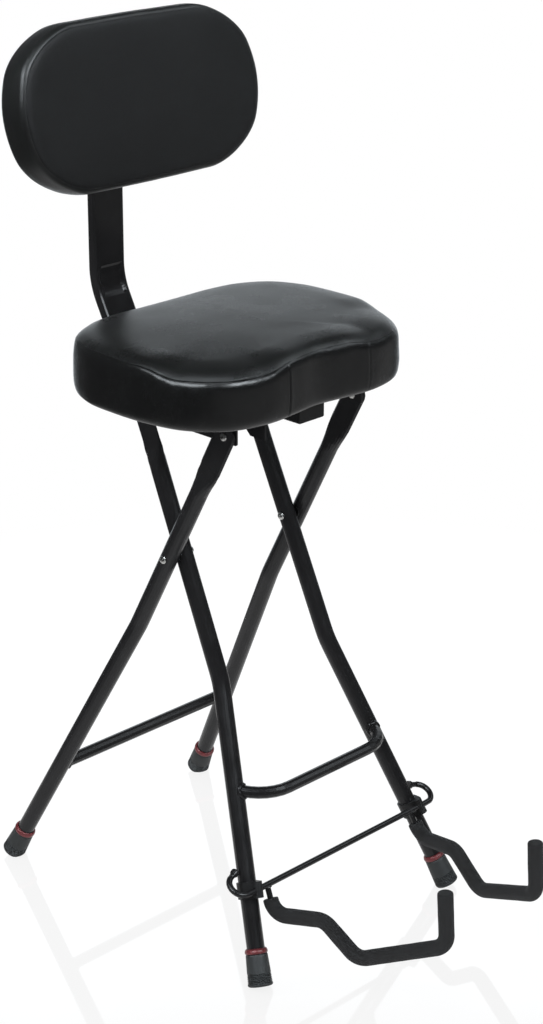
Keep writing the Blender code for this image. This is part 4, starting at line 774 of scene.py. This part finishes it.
def round_corner(before, corner, after, radius, steps):
    """Points of an arc that rounds a corner of a line."""
    to_before, to_after = (before - corner).normalized(), (after - corner).normalized()
    half = to_before.angle(to_after) / 2
    centre = corner + (to_before + to_after).normalized() * (radius / sin(half))
    start = (corner + to_before * (radius / tan(half)) - centre).normalized()
    end = (corner + to_after * (radius / tan(half)) - centre).normalized()
    return [centre + start.slerp(end, step / steps) * radius for step in range(steps + 1)]


def arm_line(side, start, past, steps):
    """Middle line of an arm, from a way along it to a way past its upturned tip."""
    drops = [ROD_R] + [ARM_DROP * share for share in ARM_DROP_SHARES]
    drops.append(drops[-1] - ARM_TIP_RISE)
    points = []
    for forward, drop, share in zip(ARM_REACH_SHARES, drops, ARM_IN_SHARES):
        x = ARM_ROOT_X + (ARM_TIP_X - ARM_ROOT_X) * share
        points.append(Vector((side * x, ROD.y - ARM_REACH * forward, ROD.z - drop)))
    points[0] += (points[1] - points[0]).normalized() * start
    points[-1] += (points[-1] - points[-2]).normalized() * past
    line = [points[0]]
    for before, corner, after in zip(points, points[1:], points[2:]):
        line += round_corner(before, corner, after, ARM_BEND_R, steps)
    return line + [points[-1]]


def subdivided(line, spacing):
    """The same line with its long stretches divided."""
    result = [line[0]]
    for start, end in zip(line, line[1:]):
        count = max(1, int((end - start).length / spacing))
        result += [start.lerp(end, k / count) for k in range(1, count + 1)]
    return result


def make_foam_sleeve(side, word):
    """Closed-cell foam tube on an arm: open at its root, uneven along its way, rounded at its tip."""
    line = subdivided(arm_line(side, 0.014, 0.004, 10), 0.006)
    stations = [(line[0], ROD_R), (line[0], 0.0085), (line[0].lerp(line[1], 0.18), 0.0093)]
    stations += [(point, FOAM_R + 0.00022 * noise.noise(point * 60.0)) for point in line[1:-1]]
    last, before = line[-1], (line[-2] - line[-1]).normalized()
    stations += [(last + before * 0.0022, 0.0094), (last + before * 0.0009, 0.0090),
                 (last + before * 0.0002, 0.0081), (last, 0.0066)]
    middle_line = [point for point, radius in stations]
    rings = []
    for i, (point, radius) in enumerate(stations):
        a, b = middle_line[max(i - 2, 0)], middle_line[min(i + 2, len(stations) - 1)]
        along = (b - a).normalized()
        out = (Vector((1, 0, 0)) - along * along.x).normalized()
        rings.append(circle(point, radius, out, along.cross(out), 36))
    sleeve = skin("foam_cover_" + word, rings, [SLOT_FINISH["black_foam"]], sharp=60.0)
    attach(sleeve, "guitar_rest")
    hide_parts("foam_sleeve_" + word)


# Rubber feet, as (radius, way up the leg)
TIP_R, TIP_TOP_R = 0.0155, 0.0134
TIP_LENGTH = 0.039
TIP_BORE_R = 0.01145
RIBS = 6
RIB_PITCH, RIB_DEPTH = 0.0021, 0.0009
TIP_SOLE = ((0.0040, -0.0002), (0.0137, -0.0001), (0.0149, 0.0006), (TIP_R, 0.0018))
TIP_RIM = ((0.0131, 0.0383), (0.0126, 0.0388), (0.0120, TIP_LENGTH), (TIP_BORE_R, TIP_LENGTH),
           (TIP_BORE_R, 0.030))
RED_RING = ((TIP_BORE_R, 0.0393), (0.0133, 0.0393), (0.0139, 0.0399), (0.0141, 0.0411), (0.0140, 0.0424),
            (0.0135, 0.0439), (0.0127, 0.0450), (0.0118, 0.0456), (TIP_BORE_R, 0.0456))


def turned(profile, matrix, floor=None):
    """Rings of (radius, height) points round a leg's middle line; none goes below the floor."""
    rings = []
    for radius, height in profile:
        ring = []
        for turn in np.linspace(0, 2 * pi, 56, endpoint=False):
            point = matrix @ Vector((radius * cos(turn), radius * sin(turn), height))
            ring.append((point.x, point.y, point.z if floor is None else max(point.z, floor)))
        rings.append(np.array(ring))
    return rings


def leg_foot(legs, line, side):
    """Matrix at a leg's foot, its Z up along the leg."""
    (bend_x, bend_drop), (foot_x, foot_drop) = line
    foot, bend = legs @ Vector((side * foot_x, 0, -foot_drop)), legs @ Vector((side * bend_x, 0, -bend_drop))
    return Matrix.Translation(foot) @ (bend - foot).normalized().to_track_quat("Z", "Y").to_matrix().to_4x4()


def tip_profile():
    """Ribbed tip from its sole to its bore."""
    profile = list(TIP_SOLE)
    for low in (0.0034 + RIB_PITCH * rib for rib in range(RIBS)):
        wide = TIP_R - (TIP_R - TIP_TOP_R) * low / TIP_LENGTH
        profile += [(wide, low), (wide - RIB_DEPTH, low + 0.0006), (wide - RIB_DEPTH, low + 0.0011),
                    (wide - 0.0001, low + 0.0016)]
    for share in (0.45, 0.6, 0.75, 0.88, 0.955):
        profile.append((TIP_R - (TIP_R - TIP_TOP_R) * share, TIP_LENGTH * share))
    return profile + list(TIP_RIM)


def make_foot(legs, line, side, word, kind, body):
    """Ribbed rubber tip and the red ring above it."""
    matrix = leg_foot(legs, line, side)
    rings = turned(tip_profile(), matrix, floor=0.0)
    tip = skin(kind + "_foot_" + word, rings, [SLOT_FINISH["charcoal_rubber"]], sharp=48.0)
    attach(tip, body)
    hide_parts(kind + "_tip_" + word)
    band = loop_skin(kind + "_band_" + word, turned(RED_RING, matrix), SLOT_FINISH["red_rubber"])
    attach(band, body)
    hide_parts(kind + "_ring_" + word)


# Welds
CROSSBAR_DROP, CROSSBAR_R = 0.374, 0.0082          # its drop under the crossing along the legs
FOOTREST_DROP, FOOTREST_R = 0.294, 0.0077
FOOTREST_CORNER_X, FOOTREST_FORWARD = 0.1062, 0.0417
WELD_RIPPLE = 0.24


def weld_path(point, away, radius, axis, axis_radius, count=26):
    """Where a round bar that leaves the middle of a round tube meets the tube's surface."""
    away, axis = away.normalized(), axis.normalized()
    side_a = away.orthogonal().normalized()
    side_b = away.cross(side_a)
    flat_away = away - axis * away.dot(axis)
    path = []
    for start in circle(point, radius, side_a, side_b, count):
        start = Vector(start)
        from_axis = start - point
        from_axis -= axis * from_axis.dot(axis)
        a = flat_away.dot(flat_away)
        b = 2 * from_axis.dot(flat_away)
        c = from_axis.dot(from_axis) - axis_radius ** 2
        path.append(start + away * ((-b + max(b * b - 4 * a * c, 0.0) ** 0.5) / (2 * a)))
    return np.array(path)


def weld_beads(name, paths, radius, body):
    """Closed beads along closed paths, as one piece, with the ripples of a weld."""
    points, faces, sides = [], [], 8
    for path in paths:
        first, count = len(points), len(path)
        middle = path.mean(0)
        for i in range(count):
            along = path[(i + 1) % count] - path[i - 1]
            along /= np.linalg.norm(along)
            out = path[i] - middle
            out -= along * out.dot(along)
            out /= np.linalg.norm(out)
            thick = radius * (1 + WELD_RIPPLE * (i % 2) + 0.5 * WELD_RIPPLE * sin(i * 1.7))
            points += list(circle(path[i], thick, out, np.cross(along, out), sides))
        for i in range(count):
            faces += between(first + i * sides, first + (i + 1) % count * sides, sides)
    made = piece(name, points, faces, [PAINT], sharp=70.0)
    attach(made, body)


def leg_at(legs, line, side, drop):
    """Point on a leg's middle line and the leg's direction there."""
    (bend_x, bend_drop), (foot_x, foot_drop) = line
    slope = (foot_x - bend_x) / (foot_drop - bend_drop)
    here = legs @ Vector((side * (bend_x + (drop - bend_drop) * slope), 0, -drop))
    return here, legs.to_3x3() @ Vector((side * slope, 0, -1))


def make_welds():
    """Weld beads at the ends of both bars and at the roots of the arms."""
    rear, front, rest = [], [], []
    for side, word in SIDES_OF:
        here, axis = leg_at(REAR_LEGS, REAR_LINE, side, CROSSBAR_DROP)
        rear.append(weld_path(here, Vector((-side, 0, 0)), CROSSBAR_R, axis, LEG_R))
        here, axis = leg_at(FRONT_LEGS, FRONT_LINE, side, FOOTREST_DROP)
        corner = Vector((side * FOOTREST_CORNER_X, here.y - FOOTREST_FORWARD, here.z))
        front.append(weld_path(here, corner - here, FOOTREST_R, axis, LEG_R))
        line = arm_line(side, 0.001, 0.0, 4)
        root = Vector((line[0].x, ROD.y, ROD.z))
        rest.append(weld_path(root, line[1] - line[0], ROD_R - 0.0001, Vector((1, 0, 0)), ROD_R + 0.0001, 18))
    weld_beads("crossbar_welds", rear, 0.0018, "rear_frame")
    weld_beads("footrest_welds", front, 0.0024, "front_frame")
    weld_beads("arm_welds", rest, 0.0009, "guitar_rest")


# Studio
AMBIENT = 0.50
COOL = (0.93, 1.0, 1.05, 1)
ROOM_LEVEL = 0.08         # how bright the dark room in front shows in glossy surfaces
FLOOR_LEVEL = 1.0         # how bright the lit floor round the feet shows in them
FLOOR_Z = -0.0003
BACKDROP_LEVEL = 1.08
BACKDROP_FADE = (1.06, 1.40)    # the heights between which its white fades to the dark room
BACKDROP_R = 1.5
BACKDROP_WAY = (0.707, 0.707, 0.0)      # from the stool to it, away from the camera
BACKDROP_ASIDE = (0.707, -0.707, 0.0)
# Windows of the dark room: azimuth and elevation, sines of their half angles, level
WINDOWS = ((190.0, 42.0, 0.33, 0.17, 17.0), (-83.0, 40.0, 0.30, 0.17, 17.0), (-136.0, 74.0, 0.34, 0.13, 4.0),
           (-16.0, 42.0, 0.34, 0.13, 3.2), (150.0, 46.0, 0.13, 0.10, 9.0))
# Lamps: place, what they aim at, width, height, watts
SOFTBOXES = (("left softbox", (-1.75, 1.75, 1.75), (0, 0, 0.6), 1.3, 0.7, 20.0),
             ("front softbox", (-2.2, -0.70, 2.6), (0, 0, 0.6), 0.8, 0.6, 14.0),
             ("right strip", (-0.2, -2.5, 2.3), (0, 0, 0.5), 0.35, 1.0, 9.0),
             ("rear softbox", (0.9, 2.2, 2.6), (0, 0.1, 0.8), 1.0, 1.0, 10.0))


def white_floor():
    """White floor that keeps a light shadow and a faint mirror image; clear when seen from below."""
    mat, tree, shader = finish("white floor", 0.04, 1.62)
    shader.inputs["Base Color"].default_value = (0.10, 0.10, 0.10, 1)
    shader.inputs["Emission Color"].default_value = (1, 1, 1, 1)
    shader.inputs["Emission Strength"].default_value = 0.85
    where = object_place(tree)
    away = add(tree, "ShaderNodeVectorMath", {0: where}, operation="LENGTH").outputs["Value"]
    far = ramp(tree, away, 0.75, 1.35)
    rays = add(tree, "ShaderNodeLightPath").outputs
    seen = maths(tree, "MAXIMUM", rays["Is Camera Ray"], rays["Is Transmission Ray"])
    plain = add(tree, "ShaderNodeEmission", {"Color": (1, 1, 1, 1), "Strength": 1.0})
    mixed = add(tree, "ShaderNodeMixShader", {0: maths(tree, "MULTIPLY", far, seen), 1: shader.outputs[0],
                                              2: plain.outputs[0]})
    # What glossy surfaces see of it: lit round the feet and under the backdrop, darker in the room
    straight = maths(tree, "DIVIDE", dot(tree, where, BACKDROP_WAY), maths(tree, "MAXIMUM", away, 0.1))
    behind = maths(tree, "MULTIPLY", ramp(tree, straight, 0.88, 0.97), ramp(tree, away, 1.0, 1.4))
    room = ramp(tree, dot(tree, where, BACKDROP_ASIDE), -1.2, 1.2, 0.02, 0.36)
    lit = maths(tree, "MAXIMUM", behind, ramp(tree, away, 0.45, 1.15, FLOOR_LEVEL, room))
    mirrored = add(tree, "ShaderNodeEmission", {"Color": (1, 1, 1, 1), "Strength": lit})
    mixed = add(tree, "ShaderNodeMixShader", {0: rays["Is Glossy Ray"], 1: mixed.outputs[0],
                                              2: mirrored.outputs[0]})
    below = add(tree, "ShaderNodeNewGeometry").outputs["Backfacing"]
    clear = add(tree, "ShaderNodeBsdfTransparent")
    mixed = add(tree, "ShaderNodeMixShader", {0: below, 1: mixed.outputs[0], 2: clear.outputs[0]})
    tree.links.new(mixed.outputs[0], tree.nodes["Material Output"].inputs["Surface"])
    return mat


def make_floor():
    """Large flat floor, its faces turned up."""
    radii = (0.4, 0.8, 1.2, 1.8, 3.0, 6.0, 12.0, 30.0, 60.0)
    middle = np.array([0.0, 0.0, FLOOR_Z])
    rings = [circle(middle, radius, np.array([1, 0, 0]), np.array([0, 1, 0]), 64) for radius in radii]
    count = len(rings[0])
    points = np.vstack([np.concatenate(rings), [middle]])
    faces = [(i, (i + 1) % count, len(points) - 1) for i in range(count)]
    for k in range(len(radii) - 1):
        faces += between((k + 1) * count, k * count, count)
    floor = piece("studio_floor", points, faces, [white_floor()])
    if floor.data.polygons[0].normal.z < 0:
        floor.data.flip_normals()


def backdrop_paper():
    """Paper that glows white behind the stool and darkens to its top and sides."""
    mat = bpy.data.materials.new("backdrop")
    mat.use_nodes = True
    tree = mat.node_tree
    tree.nodes.remove(tree.nodes["Principled BSDF"])
    where = object_place(tree)
    height = add(tree, "ShaderNodeSeparateXYZ", {0: where}).outputs["Z"]
    aside = maths(tree, "ABSOLUTE", dot(tree, where, BACKDROP_ASIDE))
    share = ramp(tree, aside, 0.45, 1.10, 1.0, 0.0)
    share = maths(tree, "MULTIPLY", share, ramp(tree, height, *BACKDROP_FADE, 1.0, 0.0))
    level = maths(tree, "MAXIMUM", maths(tree, "MULTIPLY", share, BACKDROP_LEVEL), ROOM_LEVEL)
    paper = add(tree, "ShaderNodeEmission", {"Color": COOL, "Strength": level})
    tree.links.new(paper.outputs[0], tree.nodes["Material Output"].inputs["Surface"])
    return mat


def make_backdrop():
    """Curved paper close behind the stool that only glossy surfaces see."""
    turns = [radians(45 + 2.5 * k) for k in range(-22, 23)]
    levels = (0.0, 0.6, 1.2, 1.8, 2.2)
    points = [(BACKDROP_R * cos(turn), BACKDROP_R * sin(turn), z) for z in levels for turn in turns]
    faces = []
    for k in range(len(levels) - 1):
        for i in range(len(turns) - 1):
            low, high = k * len(turns) + i, (k + 1) * len(turns) + i
            faces.append((low, low + 1, high + 1, high))
    card = piece("studio_backdrop", points, faces, [backdrop_paper()])
    card.visible_camera = card.visible_diffuse = card.visible_transmission = card.visible_shadow = False


def window(tree, direction, azimuth, elevation, half_width, half_height, level):
    """Soft-edged bright rectangle of the surroundings."""
    turn, rise = radians(azimuth), radians(elevation)
    ahead = Vector((cos(rise) * cos(turn), cos(rise) * sin(turn), sin(rise)))
    aside = Vector((-sin(turn), cos(turn), 0.0))
    mask = ramp(tree, dot(tree, direction, ahead), 0.0, 0.1)
    for axis, half in ((aside, half_width), (ahead.cross(aside), half_height)):
        off = maths(tree, "ABSOLUTE", dot(tree, direction, axis))
        mask = maths(tree, "MULTIPLY", mask, ramp(tree, off, half - 0.03, half + 0.03, 1.0, 0.0))
    return maths(tree, "MULTIPLY", mask, level)


def make_world():
    """White surroundings; glossy surfaces see a dark room and its windows instead."""
    world = bpy.data.worlds.new("white studio")
    SCENE.world = world
    world.use_nodes = True
    tree = world.node_tree
    rays = add(tree, "ShaderNodeLightPath").outputs
    direction = add(tree, "ShaderNodeTexCoord").outputs["Generated"]
    glossy = ROOM_LEVEL
    for place in WINDOWS:
        glossy = maths(tree, "MAXIMUM", glossy, window(tree, direction, *place))
    level = maths(tree, "MULTIPLY", rays["Is Glossy Ray"], glossy)
    plain = maths(tree, "MAXIMUM", rays["Is Camera Ray"], rays["Is Transmission Ray"])
    level = maths(tree, "MAXIMUM", level, plain)
    ambient = maths(tree, "MULTIPLY", rays["Is Diffuse Ray"], AMBIENT)
    level = maths(tree, "MAXIMUM", level, ambient)
    tree.links.new(level, tree.nodes["Background"].inputs["Strength"])
    tint = blend(tree, rays["Is Glossy Ray"], (1, 1, 1, 1), COOL)
    tree.links.new(tint, tree.nodes["Background"].inputs["Color"])


def softbox(name, place, target, width, height, watts):
    """Flat lamp aimed at a point, not seen in glossy surfaces."""
    lamp = bpy.data.lights.new(name, "AREA")
    lamp.shape = "RECTANGLE"
    lamp.size, lamp.size_y = width, height
    lamp.energy = watts
    obj = bpy.data.objects.new(name, lamp)
    obj.visible_glossy = False
    obj.location = place
    obj.rotation_euler = (Vector(target) - Vector(place)).to_track_quat("-Z", "Y").to_euler()
    SCENE.collection.objects.link(obj)


def make_camera():
    """Camera of the photograph: from the front left, a little above the seat."""
    place = (-1.91117, -1.84525, 1.57625)
    back = Vector((-0.65961, -0.65791, 0.36341)).normalized()
    right = Vector((0.70619, -0.70802, 0.0)).normalized()
    axes = Matrix((right, back.cross(right), back)).transposed()
    data = bpy.data.cameras.new("photo camera")
    data.lens = 82.74
    data.shift_x = 0.02058
    data.shift_y = -0.00359
    data.clip_end = 200.0
    camera = bpy.data.objects.new("photo camera", data)
    camera.matrix_world = Matrix.Translation(place) @ axes.to_4x4()
    SCENE.collection.objects.link(camera)
    SCENE.camera = camera


seat_loop, seat_inward = make_seat_cushion()
make_backrest_cushion()
make_seat_underside(seat_loop, seat_inward)
make_backrest_rear()
make_rest_rod()
for side, word in SIDES_OF:
    make_foam_sleeve(side, word)
    make_foot(FRONT_LEGS, FRONT_LINE, side, word, "front", "front_frame")
    make_foot(REAR_LEGS, REAR_LINE, side, word, "rear", "rear_frame")
make_welds()
make_floor()
make_backdrop()
make_world()
make_camera()
for lamp_values in SOFTBOXES:
    softbox(*lamp_values)
SCENE.view_settings.view_transform = "Standard"
